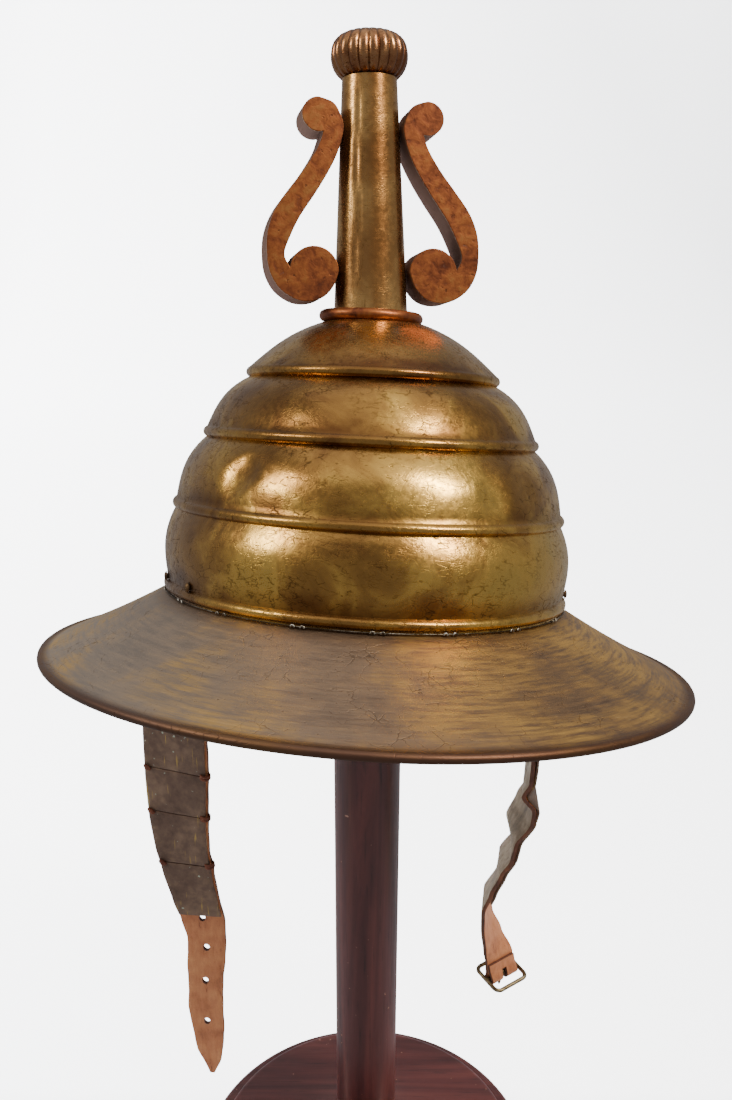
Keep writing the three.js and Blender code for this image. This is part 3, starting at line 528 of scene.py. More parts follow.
top_radius, low_radius = 0.0846 * SCROLL_TALL, 0.1247 * SCROLL_TALL
top_curl = scroll_place(0.344, 0.915)
low_curl = scroll_place(low_radius / SCROLL_WIDE, 0.15)
top_arc = arc(top_curl, top_radius, -105, 90, 20)
low_arc = arc(low_curl, low_radius, 8, 180, 20)
near = through([top_arc[-1]] + [scroll_place(*p) for p in NEAR_EDGE] + [low_arc[0]], 5)
far = through([low_arc[-1]] + [scroll_place(*p) for p in FAR_EDGE] + [top_arc[0]], 5)
scroll_outline = top_arc + near[1:] + low_arc[1:] + far[1:-1]


def cut_scroll(name, side):
    x, z = scroll_outline[0]
    board = begin_line(name, (x * MM, -SCROLL_THICK / 2 * MM, z * MM))
    draw_on(scroll_outline + scroll_outline[:1])
    bpy.ops.mesh.select_all(action="SELECT")
    bpy.ops.mesh.remove_doubles(threshold=2e-5)
    bpy.ops.mesh.select_all(action="SELECT")
    bpy.ops.mesh.edge_face_add()
    thick = (0, SCROLL_THICK * MM, 0)
    bpy.ops.mesh.extrude_region_move(TRANSFORM_OT_translate={"value": thick})
    close_up(None)
    worn = board.modifiers.new("worn corners", "BEVEL")
    worn.width, worn.segments, worn.limit_method, worn.angle_limit = 0.0006, 2, "ANGLE", math.radians(50)
    take_up(board)
    bpy.ops.object.modifier_apply(modifier="worn corners")
    smooth(board, 20)
    put_at(board, FINIAL @ turned_by(180 if side < 0 else 0, "Z"))
    return board


scroll_left = cut_scroll("scroll_board_left", -1)
scroll_right = cut_scroll("scroll_board_right", 1)
print("scroll outline points:", len(scroll_outline))

# %% [markdown]
# ## How the strap halves hang
# Old leather keeps the twists it dried in. Each half is described by a short table from its riveted top
# down: how far it has dropped, how far it has swung to the side, how wide it is, and which way it faces.
# Rows between are read off a smooth line, so that the leather and its plates follow the same course.

# %% The courses of the straps
TOP_WIDTH = 45.0
LEFT = {
    "top": (-81.04, -49.5, 434.93),
    "drop": 304.5,
    "rows": [
        (0, 0, 1, -67.2), (0.098, -0.02, 0.92, -67.2), (0.18, -0.13, 0.85, -42), (0.285, -0.248, 0.755, -20),
        (0.371, -0.261, 0.745, -18), (0.443, -0.272, 0.69, -15), (0.505, -0.252, 0.633, -12),
        (0.548, -0.21, 0.6, -9), (0.61, -0.139, 0.545, -6), (0.653, -0.075, 0.505, -5),
        (0.696, -0.046, 0.458, -5), (0.785, -0.088, 0.422, -5), (0.85, -0.108, 0.409, -5),
        (0.9, -0.09, 0.387, -5), (0.946, -0.088, 0.302, -5), (0.972, -0.066, 0.2, -5), (1, -0.075, 0.06, -5),
    ],
    "joints": [0.105, 0.187, 0.269, 0.351, 0.433, 0.532, 0.64],
}
RIGHT = {
    "top": (84.95, -18.15, 417.12),
    "drop": 244.5,
    "rows": [
        (0, 0, 1, 92.2), (0.12, -0.016, 0.92, 92.2), (0.28, -0.014, 0.82, 84), (0.4, -0.021, 0.747, 86),
        (0.444, -0.029, 0.72, 86), (0.477, -0.067, 0.71, 80), (0.514, 0.015, 0.69, 89),
        (0.551, -0.051, 0.67, 97), (0.604, -0.189, 0.65, 93), (0.645, -0.152, 0.622, 80),
        (0.69, -0.292, 0.596, 84), (0.74, -0.35, 0.56, 75), (0.793, -0.469, 0.5, 82),
        (0.85, -0.425, 0.43, 72), (0.9, -0.345, 0.415, 56), (0.955, -0.25, 0.41, 36),
        (1, -0.209, 0.41, 36),
    ],
    "joints": [0.12, 0.225, 0.33, 0.44, 0.545, 0.65, 0.77],
}


def hang_at(strap, share):
    """Middle, direction across and width of a strap at a share of its drop, in millimetres."""
    rows = strap["rows"]
    i = max(1, next((k for k, row in enumerate(rows) if row[0] >= share), len(rows) - 1))
    a, b = rows[i - 1], rows[i]
    mix = min(1.0, max(0.0, (share - a[0]) / (b[0] - a[0])))
    eased = (mix + mix * mix * (3 - 2 * mix)) / 2
    side, turn = (a[k] + (b[k] - a[k]) * eased for k in (1, 3))
    width = (a[2] + (b[2] - a[2]) * mix) * TOP_WIDTH
    x, y, z = strap["top"]
    t = math.radians(turn)
    middle = Vector((x + side * TOP_WIDTH, y, z - share * strap["drop"]))
    return middle, Vector((math.cos(t), math.sin(t), 0)), width


def face_of(across):
    return Vector((across.y, -across.x, 0))


# %% [markdown]
# ## The leather of the straps
# A strap is a flat strip, so it starts as a grid. Moving every row by hand would take a hundred steps, so
# code lays the rows along the course, which no single operator does. Solidify then gives the leather its
# thickness and a bevel softens its cut edges.

# %% Strips that follow a course
def lay_strip(name, stations, columns, thickness, bevel):
    """A grid laid along stations of (middle, across, width, face, offset along the face), thickened."""
    put_down_all()
    bpy.ops.mesh.primitive_grid_add(x_subdivisions=columns, y_subdivisions=len(stations) - 1, size=1)
    strip = bpy.context.object
    strip.name = name
    for point in strip.data.vertices:
        row = round((0.5 - point.co.y) * (len(stations) - 1))
        middle, across, width, face, offset = stations[row]
        place = middle + across * (2 * point.co.x * width / 2) + face * offset
        point.co = place * MM
    wall = strip.modifiers.new("leather", "SOLIDIFY")
    wall.thickness, wall.offset, wall.use_even_offset = thickness * MM, 0, True
    edge = strip.modifiers.new("edges", "BEVEL")
    edge.width, edge.segments, edge.limit_method, edge.angle_limit = bevel * MM, 2, "ANGLE", math.radians(50)
    take_up(strip)
    bpy.ops.object.modifier_apply(modifier="leather")
    bpy.ops.object.modifier_apply(modifier="edges")
    bpy.ops.object.mode_set(mode="EDIT")
    close_up(None)
    smooth(strip, 45)
    return strip


def band_stations(strap, start, end, count, ragged):
    stations = []
    for i in range(count + 1):
        share = start + (end - start) * i / count
        middle, across, width = hang_at(strap, share)
        wave = ragged * (math.sin(share * 61) + 0.5 * math.sin(share * 143 + 1)) * min(1, width / 12)
        stations.append((middle, across, width + wave, face_of(across), 0))
    return stations


def punch(piece, cutter):
    """Cuts one closed piece out of another and throws the cutter away."""
    hole = piece.modifiers.new("hole", "BOOLEAN")
    hole.object, hole.operation, hole.solver = cutter, "DIFFERENCE", "EXACT"
    take_up(piece)
    bpy.ops.object.modifier_apply(modifier="hole")
    bpy.data.objects.remove(cutter)


# %% The left strap half, with its holes
left_leather = lay_strip("left_leather", band_stations(LEFT, 0, 1, 130, 0.35), 6, 2.2, 0.35)
for share in (0.648, 0.712, 0.785, 0.877):
    middle, across = hang_at(LEFT, share)[:2]
    put_down_all()
    bpy.ops.mesh.primitive_cylinder_add(vertices=24, radius=0.0017, depth=0.012)
    cutter = bpy.context.object
    bpy.ops.transform.resize(value=(1, 1.35, 1))
    bpy.ops.object.transform_apply(scale=True)
    face = face_of(across)
    put_at(cutter, matrix_of((across, face.cross(across), face), middle))
    punch(left_leather, cutter)
smooth(left_leather, 45)
print("left strap faces:", len(left_leather.data.polygons))

# %% [markdown]
# ## The right strap half and its loop
# The right half narrows, twists and ends in the buckle. Its end goes behind the bar, round under it
# and a short way up in front, with a slot for the tongue. So the same strip simply goes on round the bar.

# %% The right strap half
bar_middle, bar_line, bar_width = hang_at(RIGHT, 1)
bar_face = face_of(bar_line)
LOOP = 2.5


def on_bar(swing):
    """Where a piece on the bar stands: X along the bar, Y down and turned towards the face by the swing."""
    t = math.radians(swing)
    down = Vector((0, 0, -1)) * math.cos(t) + bar_face * math.sin(t)
    return matrix_of((bar_line, down, bar_line.cross(down)), bar_middle)


stations = band_stations(RIGHT, 0, 0.953, 116, 0.4)
for share, offset in ((0.962, -0.35), (0.972, -0.8), (0.982, -1.15), (0.99, -1.6)):
    middle, _, width = hang_at(RIGHT, share)
    stations.append((middle, bar_line, width, bar_face, offset))
for i in range(11):
    t = math.radians(180 + 18 * i)
    under = bar_middle + Vector((0, 0, LOOP * math.sin(t)))
    stations.append((under, bar_line, bar_width, bar_face, LOOP * math.cos(t)))
for up, offset in ((1.6, 2.1), (3.2, 1.6), (5.2, 1.35), (7.4, 1.3), (9.2, 1.35), (10.4, 1.4)):
    middle = hang_at(RIGHT, 1 - up / RIGHT["drop"])[0]
    stations.append((middle, bar_line, bar_width - 0.4, bar_face, offset))
right_leather = lay_strip("right_leather", stations, 6, 2.15, 0.3)
put_down_all()
bpy.ops.mesh.primitive_cube_add(size=1, scale=(0.0032, 0.0116, 0.0116), location=(0, 0.0011, 0))
cutter = bpy.context.object
put_at(cutter, on_bar(0))
punch(right_leather, cutter)
smooth(right_leather, 45)
print("the buckle's bar is at", [round(v, 1) for v in bar_middle], "mm")

# %% [markdown]
# ## The dark plates
# Stiff dark plates cover the upper part of both halves, each set close to the next and laced through
# the leather. Every plate is a short strip on the same course, a little above the leather, with bevelled
# edges that catch the light.

# %% The plates
def make_plate(name, strap, start, end):
    gap = 0.25 / strap["drop"]
    stations = []
    for i in range(13):
        share = start + gap + (end - start - 2 * gap) * i / 12
        middle, across, width = hang_at(strap, share)
        belly = 0.25 * math.sin(math.pi * i / 12)
        stations.append((middle, across, width - 1.2, face_of(across), 2.25 + belly))
    return lay_strip(name, stations, 6, 1.25, 0.4)


plates = {}
for side, strap in (("left", LEFT), ("right", RIGHT)):
    for i, (start, end) in enumerate(zip(strap["joints"], strap["joints"][1:]), 1):
        plates[f"strap_{side}_plate_{i}"] = make_plate(f"{side}_plate_{i}", strap, start, end)
print("plates:", len(plates))

# %% [markdown]
# ## The lacing of the left plates
# A leather thong holds the plates at each joint. It shows as a small knot near one edge, and where it
# turns round the other edge of the strap. A knot is three small flattened rings, and a turn is two wider
# ones side by side.

# %% The lacing
THONG = 0.00065


def lace_ring(place, facing, size, flat):
    put_down_all()
    bpy.ops.mesh.primitive_torus_add(
        major_radius=size, minor_radius=THONG, major_segments=16, minor_segments=8
    )
    ring = bpy.context.object
    bpy.ops.transform.resize(value=(1, 1, flat))
    bpy.ops.object.transform_apply(scale=True)
    put_at(ring, Matrix.Translation(place * MM) @ facing.to_track_quat("Z", "Y").to_matrix().to_4x4())
    return ring


rings = []
for i, share in enumerate(LEFT["joints"][1:-1]):
    middle, across, width = hang_at(LEFT, share)
    down = (hang_at(LEFT, share + 0.01)[0] - middle).normalized()
    face = face_of(across)
    for aside, low, size in ((0, 0, 0.0009), (0.9, 0.5, 0.0006), (-0.7, -0.6, 0.0006)):
        knot = middle - across * (width / 2 - 2.4 - aside) + face * 3.6 + down * low
        rings.append(lace_ring(knot, (face + across * 0.4 * low).normalized(), size, 0.8))
    turn = middle + across * (width / 2 - 0.9) + face * 1.7 + down * (0.6 - 0.3 * i)
    for shift in (-0.7, 0.7):
        rings.append(lace_ring(turn + down * shift, down, 0.0021, 1.2))
lacing = join_up(rings, "plate_lacing")
smooth(lacing, 60)
print("lace turns:", len(rings))

# %% [markdown]
# ## The buckle
# The frame is one round wire bent to a rectangle, with a straight bar across its middle. The wire's
# section is extruded along each side and spun round each corner. The tongue is a ring round the bar with
# a tapering pin. Both are modelled flat and then put at the end of the strap.

# %% The buckle's frame and tongue
LONG, SHORT, WIRE, CORNER = 0.0109, 0.0094, 0.0011, 0.0032


def bend_frame():
    put_down_all()
    bpy.ops.mesh.primitive_circle_add(
        vertices=12, radius=WIRE, rotation=(0, math.pi / 2, 0), location=(0, -SHORT, 0)
    )
    frame_piece = bpy.context.object
    frame_piece.name = "buckle_wire"
    bpy.ops.object.transform_apply(location=True, rotation=True)
    bpy.ops.object.mode_set(mode="EDIT")
    bpy.ops.mesh.select_all(action="SELECT")
    half_long, half_short = LONG - CORNER, SHORT - CORNER
    corners = [(1, -1), (1, 1), (-1, 1), (-1, -1)]
    headings = [(1, 0, 0), (0, 1, 0), (-1, 0, 0), (0, -1, 0)]
    runs = [half_long, 2 * half_short, 2 * half_long, 2 * half_short]
    for (x, y), heading, run in zip(corners, headings, runs):
        bpy.ops.mesh.extrude_region_move(TRANSFORM_OT_translate={"value": Vector(heading) * run})
        centre = (x * half_long, y * half_short, 0)
        bpy.ops.mesh.spin(steps=6, angle=-math.pi / 2, center=centre, axis=(0, 0, 1))
    bpy.ops.mesh.extrude_region_move(TRANSFORM_OT_translate={"value": (half_long, 0, 0)})
    close_up(2e-5)
    return frame_piece


buckle = bend_frame()
print("buckle frame size, mm:", [round(v * 1000, 1) for v in buckle.dimensions])
put_down_all()
bpy.ops.mesh.primitive_cylinder_add(vertices=16, radius=WIRE, depth=2 * LONG, rotation=(0, math.pi / 2, 0))
bar = bpy.context.object
bpy.ops.object.transform_apply(rotation=True)
join_up([buckle, bar], "buckle_wire")
smooth(buckle, 50)
put_at(buckle, on_bar(80))

put_down_all()
bpy.ops.mesh.primitive_torus_add(
    major_radius=0.00185,
    minor_radius=0.00043,
    major_segments=24,
    minor_segments=10,
    rotation=(0, math.pi / 2, 0),
)
tongue = bpy.context.object
tongue.name = "buckle_pin"
bpy.ops.object.transform_apply(rotation=True)
bpy.ops.mesh.primitive_circle_add(
    vertices=12, radius=0.00085, fill_type="NGON", rotation=(math.pi / 2, 0, 0), location=(0, 0.0017, 0)
)
pin = bpy.context.object
bpy.ops.object.transform_apply(location=True, rotation=True)
bpy.ops.object.mode_set(mode="EDIT")
for length, narrow in ((0.003, 0.95), (0.003, 0.9), (0.0015, 0.75), (0.0004, 0.4)):
    bpy.ops.mesh.extrude_region_move(TRANSFORM_OT_translate={"value": (0, length, 0)})
    bpy.ops.transform.resize(value=(narrow, 1, narrow))
close_up(None)
join_up([tongue, pin], "buckle_pin")
smooth(tongue, 50)
put_at(tongue, on_bar(-9))

# %% [markdown]
# ## The stand
# A turner made the base from a disc, with a wider foot below a small step, and set a plain post in its
# middle. The corners are rounded and the whole is stained and varnished. The post's top is hidden in the
# crown and is plainly domed.

# %% The stand
base_section = [(0, 0), (100.6, 0), (101.6, 0.6)] + arc((98.6, 7.6), 3.4, 0, 90, 6)
base_section += [(93, 11.1), (92.3, 11.6)]
base_section += arc((88.4, 16.4), 3.6, 0, 90, 6) + [(19, 20), (17.9, 19.4), (17.9, 8), (0, 8)]
stand_base = spin_section("turned_base", base_section, 128)
smooth(stand_base, 35)
POST = 17.6
post_section = [(0, 8.3)] + [(POST, height) for height in (8.3, 120, 260, 400)]
post_section += arc((0, 516.4), POST, 0, 90, 12)
post_section[-1] = (0, 534)
stand_post = spin_section("turned_post", post_section, 64)
smooth(stand_post, 35)
print("stand built")

# %% [markdown]
# ## Telling the frame what each piece is
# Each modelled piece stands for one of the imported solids, so that one no longer shows. The seam wire, its
# stitches and the lacing stand for none. The buckle and its tongue ride on their own bodies, and all the
# rest belongs to the hat and stand.

# %% Pieces take the place of their solids
STANDS_FOR = {
    "crown": crown, "brim": brim, "finial_column": tube, "finial_collar": collar, "finial_knob": knob,
    "lyre_scroll_left": scroll_left, "lyre_scroll_right": scroll_right, "strap_left": left_leather,
    "strap_right": right_leather, "buckle_frame": buckle, "buckle_tongue": tongue,
    "stand_base": stand_base, "stand_post": stand_post,
}
STANDS_FOR.update({f"rivet_{name}": rivet for name, rivet in rivets.items()})
STANDS_FOR.update(plates)
for node, piece in STANDS_FOR.items():
    body = {"buckle_frame": "buckle", "buckle_tongue": "tongue"}.get(node, "hat_on_stand")
    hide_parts(node)
    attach(piece, body)
for piece in (wire, seam_stitches, lacing):
    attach(piece, "hat_on_stand")
print("pieces placed:", len(STANDS_FOR) + 3)

# %% [markdown]
# ## Tools for finishes
# Each finish is a small graph of nodes on Object coordinates, which are the object's own place in metres.
# Colours are given as they look on a screen and turned to the linear values that a shader wants.

# %% Tools for finishes
def paint(r, g, b):
    def line(v):
        v /= 255
        return v / 12.92 if v <= 0.04045 else ((v + 0.055) / 1.055) ** 2.4

    return (line(r), line(g), line(b), 1)


def paints(*colours):
    return [paint(*colour) for colour in colours]


def add(tree, kind, inputs=None, **settings):
    """Adds a node, sets its options, and fills or links its inputs by name or number."""
    node = tree.nodes.new(kind)
    for key, value in settings.items():
        setattr(node, key, value)
    for key, value in (inputs or {}).items():
        if isinstance(value, bpy.types.NodeSocket):
            tree.links.new(value, node.inputs[key])
        else:
            node.inputs[key].default_value = value
    return node


def work_out(tree, kind, a, b=0.0, clamp=False):
    """One step of arithmetic between two greys or numbers."""
    return add(tree, "ShaderNodeMath", {0: a, 1: b}, operation=kind, use_clamp=clamp).outputs[0]


def times(tree, a, b, clamp=False):
    return work_out(tree, "MULTIPLY", a, b, clamp)


def plus(tree, a, b, clamp=False):
    return work_out(tree, "ADD", a, b, clamp)


def minus(tree, a, b, clamp=False):
    return work_out(tree, "SUBTRACT", a, b, clamp)


def larger(tree, a, b):
    return work_out(tree, "MAXIMUM", a, b)


def blend_of(tree, a, b, share):
    """Two greys added up, the second with a given share."""
    return plus(tree, times(tree, a, round(1 - share, 3)), times(tree, b, share))


def moved(tree, place, **settings):
    return add(tree, "ShaderNodeMapping", {"Vector": place, **settings}).outputs[0]


def parts_of(tree, place):
    return add(tree, "ShaderNodeSeparateXYZ", {0: place}).outputs


def grain(tree, place, scale, detail=4.0, rough=0.55, bend=0.0):
    inputs = {"Vector": place, "Scale": scale, "Detail": detail, "Roughness": rough, "Distortion": bend}
    return add(tree, "ShaderNodeTexNoise", inputs).outputs["Fac"]


def steps(tree, value, stops):
    """A ramp of (place, value) or (place, colour) stops."""
    node = add(tree, "ShaderNodeValToRGB", {"Fac": value})
    ramp = node.color_ramp
    while len(ramp.elements) < len(stops):
        ramp.elements.new(1.0)
    for element, (place, colour) in zip(ramp.elements, stops):
        element.position = place
        element.color = colour if isinstance(colour, tuple) else (colour, colour, colour, 1)
    return node.outputs["Color"]


def blend_colour(tree, amount, a, b):
    node = add(tree, "ShaderNodeMix", {0: amount}, data_type="RGBA", blend_type="MIX")
    for socket, value in (("A_Color", a), ("B_Color", b)):
        target = next(i for i in node.inputs if i.identifier == socket)
        if isinstance(value, bpy.types.NodeSocket):
            tree.links.new(value, target)
        else:
            target.default_value = value
    return next(o for o in node.outputs if o.identifier == "Result_Color")


def new_finish(name, metallic, **sockets):
    finish = bpy.data.materials.new(name)
    finish.use_nodes = True
    tree = finish.node_tree
    shader = tree.nodes["Principled BSDF"]
    shader.inputs["Metallic"].default_value = metallic
    for key, value in sockets.items():
        shader.inputs[key.replace("_", " ")].default_value = value
    return finish, tree, shader


def own_place(tree, frame_of=None):
    """Object coordinates, or the same seen from a piece's own upright frame."""
    place = add(tree, "ShaderNodeTexCoord").outputs["Object"]
    if frame_of is None:
        return place
    back = frame_of.inverted()
    turn = back.to_euler("XYZ")
    inputs = {"Vector": place, "Location": back.translation, "Rotation": turn}
    return add(tree, "ShaderNodeMapping", inputs, vector_type="POINT").outputs[0]


def relief(tree, shader, height, distance, strength=1.0):
    bump = add(tree, "ShaderNodeBump", {"Strength": strength, "Distance": distance, "Height": height})
    tree.links.new(bump.outputs["Normal"], shader.inputs["Normal"])


def dress(piece, finish):
    piece.data.materials.clear()
    piece.data.materials.append(finish)


# %% [markdown]
# ## Old gilding
# The crown, tube and knob are gilded metal under an old lacquer. The gold shifts between red-brown and
# greenish yellow, and is crazed in patches with fine dark cracks. Painted shade darkens the groove just
# above each bead and the skirt below the foot bead, and the top tier is painted a lighter gold as painted
# light from above.
# Cracks come from the borders of Voronoi cells, bent by noise. The tube has upright creases as well, and a
# darker, redder upright strip down its middle that is painted shade.

# %% Old gilding
# Height of the crown in millimetres over which its painted shade and painted light are laid.
PAINTED_LIGHT_RANGE = 170


def crazing(tree, place, scale, width):
    """1 in the cracks, 0 between them."""
    noise = {"Vector": place, "Scale": scale * 0.7, "Detail": 3.0}
    bend = add(tree, "ShaderNodeTexNoise", noise).outputs["Color"]
    shift = add(tree, "ShaderNodeVectorMath", {0: bend, 1: (0.5, 0.5, 0.5)}, operation="SUBTRACT").outputs[0]
    small = add(tree, "ShaderNodeVectorMath", {0: shift, "Scale": 1.3 / scale}, operation="SCALE").outputs[0]
    bent = add(tree, "ShaderNodeVectorMath", {0: place, 1: small}).outputs[0]
    cells = add(tree, "ShaderNodeTexVoronoi", {"Vector": bent, "Scale": scale}, feature="DISTANCE_TO_EDGE")
    return steps(tree, cells.outputs["Distance"], [(0, 1.0), (width, 0.0)])


def gild(name, place_of, painted_shade_rows, tones, crackle, lift=0.42, creased=False):
    finish, tree, shader = new_finish(name, 1.0)
    place = own_place(tree, place_of)
    broad = grain(tree, place, 9, 3)
    patch = grain(tree, place, 38, 6, 0.62, 0.6)
    fine = grain(tree, place, 420, 4, 0.6)
    tone = blend_of(tree, broad, patch, 0.4)
    colour = steps(tree, tone, [(0.36, tones[0]), (0.47, tones[1]), (0.54, tones[2]), (0.64, tones[3])])
    flat = moved(tree, place, Scale=(0.7, 0.7, 1.6))
    broken = steps(tree, grain(tree, place, 230, 3, 0.6), [(0.45, 0.0), (0.53, 1.0)])
    where = steps(tree, grain(tree, place, 26, 5, 0.6), [(0.42, 0.0), (0.52, 1.0)])
    cracks = times(tree, crazing(tree, flat, 150, 0.045), times(tree, where, broken))
    cluster = steps(tree, grain(tree, place, 55, 4), [(0.46, 0.0), (0.58, 1.0)])
    hair = times(tree, crazing(tree, flat, 470, 0.09), times(tree, cluster, broken))
    lines = times(tree, larger(tree, cracks, hair), crackle, True)
    pits = steps(tree, grain(tree, flat, 460, 4, 0.6), [(0.34, 1.0), (0.4, 0.0)])
    pits = times(tree, pits, steps(tree, patch, [(0.47, 0.0), (0.58, 1.0)]))
    marks = larger(tree, lines, times(tree, pits, 0.8))
    if creased:
        wander = grain(tree, moved(tree, place, Scale=(1, 1, 0.1)), 240, 4, 0.6, 0.3)
        from_middle = work_out(tree, "ABSOLUTE", minus(tree, wander, 0.5))
        line = steps(tree, from_middle, [(0.0, 1.0), (0.022, 0.0)])
        across = times(tree, plus(tree, parts_of(tree, place)["X"], 0.03), 20.0)
        strip = steps(tree, across, [(0.33, 0.0), (0.38, 0.9), (0.47, 0.9), (0.52, 0.0)])
        marks = larger(tree, marks, times(tree, line, strip))
        # Painted shade: a darker, redder upright strip down the middle of the tube.
        middle = steps(tree, across, [(0.5, 0.0), (0.58, 0.55), (0.66, 0.55), (0.74, 0.0)])
        colour = blend_colour(tree, middle, colour, paint(142, 90, 48))
    painted_shade = 0.0
    # Painted shade: dark bands in the groove just above each bead and on the skirt below the foot bead.
    if painted_shade_rows:
        wave = times(tree, minus(tree, patch, 0.5), 0.012)
        height = plus(tree, parts_of(tree, place)["Z"], wave)
        level = work_out(tree, "DIVIDE", height, PAINTED_LIGHT_RANGE * MM, True)
        painted_shade = steps(tree, level, painted_shade_rows)
        # Painted light: the top tier above the last bead is painted a lighter gold, as if lit from above.
        top = steps(tree, level, [(0.81, 0.0), (0.86, 0.6)])
        colour = blend_colour(tree, top, colour, paint(196, 152, 84))
        colour = blend_colour(tree, painted_shade, colour, paint(80, 46, 26))
    colour = blend_colour(tree, times(tree, marks, 0.85), colour, paint(38, 24, 14))
    tree.links.new(colour, shader.inputs["Base Color"])
    gloss = steps(tree, fine, [(0.3, 0.19), (0.7, 0.31)])
    dull = plus(tree, gloss, times(tree, marks, 0.3))
    if painted_shade_rows:
        dull = plus(tree, dull, times(tree, painted_shade, 0.12), True)
    tree.links.new(dull, shader.inputs["Roughness"])
    bumps = minus(tree, times(tree, patch, 1.6), times(tree, marks, 0.15))
    beaten = grain(tree, place, 130, 3, 0.5)
    bumps = plus(tree, bumps, times(tree, beaten, 0.5))
    bumps = plus(tree, bumps, times(tree, fine, 0.05))
    relief(tree, shader, bumps, 0.0006, lift)
    return finish


GOLD_TONES = paints((120, 82, 46), (172, 128, 68), (220, 174, 90), (206, 168, 88))
# Heights in millimetres and amounts of painted shade, darkest in the groove just above each bead.
PAINTED_SHADE_AT = [
    (0, 0.6), (34.5, 0), (37.5, 0.62), (46, 0.12), (72.5, 0.05), (75.5, 0.6), (83, 0.12), (106.4, 0.05),
    (109, 0.6), (115, 0.1), (135.3, 0.05), (137.5, 0.6), (142, 0.15), (PAINTED_LIGHT_RANGE, 0.1),
]
crown_painted_shade = [(height / PAINTED_LIGHT_RANGE, amount) for height, amount in PAINTED_SHADE_AT]
crown_gilding = gild("crown gilding", HAT, crown_painted_shade, GOLD_TONES, 0.9)
TUBE_TONES = paints((136, 92, 56), (172, 126, 76), (204, 158, 98), (190, 152, 92))
tube_gilding = gild("tube gilding", FINIAL, None, TUBE_TONES, 0.8, 0.25, True)
KNOB_TONES = paints((92, 56, 38), (128, 82, 56), (164, 118, 80), (144, 104, 72))
knob_gilding = gild("knob gilding", FINIAL, None, KNOB_TONES, 0.6)
dress(crown, crown_gilding)
dress(tube, tube_gilding)
dress(knob, knob_gilding)

# %% [markdown]
# ## The brim's patina
# Handling has worn the brim's gold to brown. Its left side is painted greyer and paler, a painted reflection
# of the pale paper beside it. The marks run round the brim, so the noise is read from polar coordinates: the
# direction round the oval changes slowly and the distance from the middle quickly, which draws the streaks
# out.
# Towards the rolled edge the colour turns red-brown.

# %% The brim's patina
def patina():
    finish, tree, shader = new_finish("brim patina", 1.0)
    place = own_place(tree, HAT)
    axes = parts_of(tree, place)
    y = work_out(tree, "DIVIDE", axes["Y"], OVAL)
    squares = plus(tree, times(tree, axes["X"], axes["X"]), times(tree, y, y))
    radius = work_out(tree, "SQRT", squares)
    polar = [times(tree, work_out(tree, "DIVIDE", v, radius), 0.1) for v in (axes["X"], y)]
    polar.append(times(tree, radius, 9.0))
    streaky = add(tree, "ShaderNodeCombineXYZ", dict(enumerate(polar)))
    streaks = grain(tree, streaky.outputs[0], 62, 7, 0.68)
    threads = grain(tree, streaky.outputs[0], 170, 5, 0.7)
    cloud = grain(tree, place, 15, 5, 0.6, 0.4)
    blotch = grain(tree, place, 48, 6, 0.65, 0.8)
    mixed = plus(tree, times(tree, cloud, 0.45), times(tree, streaks, 0.27))
    mixed = plus(tree, mixed, times(tree, blotch, 0.28))
    tones = paints((104, 80, 62), (134, 106, 80), (152, 118, 80), (178, 138, 86), (196, 158, 100))
    colour = steps(tree, mixed, list(zip((0.36, 0.45, 0.52, 0.6, 0.68), tones)))
    # Painted reflection: the brim's left side is painted greyer and paler, as the pale paper would show in
    # it.
    side = plus(tree, times(tree, axes["X"], 3.2), 0.5, True)
    painted_reflection = minus(tree, 0.62, side, True)
    colour = blend_colour(tree, painted_reflection, colour, paint(190, 178, 166))
    pale = steps(tree, threads, [(0.6, 0.0), (0.72, 0.5)])
    colour = blend_colour(tree, pale, colour, paint(186, 164, 128))
    worn = steps(tree, cloud, [(0.45, 0.0), (0.6, 0.6)])
    worn = times(tree, worn, steps(tree, streaks, [(0.4, 0.0), (0.55, 1.0)]))
    colour = blend_colour(tree, worn, colour, paint(208, 166, 92))
    where = steps(tree, grain(tree, place, 34, 6, 0.7), [(0.48, 0.0), (0.58, 0.8)])
    cracks = times(tree, crazing(tree, place, 120, 0.034), where)
    pits = steps(tree, grain(tree, place, 620, 2), [(0.25, 0.8), (0.33, 0.0)])
    marks = larger(tree, cracks, pits)
    colour = blend_colour(tree, times(tree, marks, 0.7), colour, paint(52, 38, 28))
    reach = work_out(tree, "DIVIDE", radius, 0.16)
    rim = steps(tree, reach, [(0.915, 0.0), (0.936, 0.75), (0.951, 0.9)])
    colour = blend_colour(tree, rim, colour, paint(88, 58, 46))
    # Painted shade: the brim is darker near the crown, in the corner under the foot bead.
    corner = steps(tree, reach, [(0.585, 0.55), (0.63, 0.0)])
    colour = blend_colour(tree, corner, colour, paint(96, 68, 46))
    tree.links.new(colour, shader.inputs["Base Color"])
    dull = steps(tree, streaks, [(0.3, 0.42), (0.7, 0.56)])
    dull = plus(tree, dull, times(tree, marks, 0.2), True)
    tree.links.new(dull, shader.inputs["Roughness"])
    bumps = minus(tree, times(tree, mixed, 1.2), times(tree, marks, 0.4))
    bumps = plus(tree, bumps, times(tree, threads, 0.25))
    relief(tree, shader, bumps, 0.0006, 0.6)
    return finish


dress(brim, patina())

# %% [markdown]
# ## Red-brown lacquered scrolls
# The scrolls' faces keep a mottled copper-brown lacquer, while their sawn edges are dark and grey with
# pale worn corners. The finial's own frame tells faces from edges: a face lies far from its middle plane.

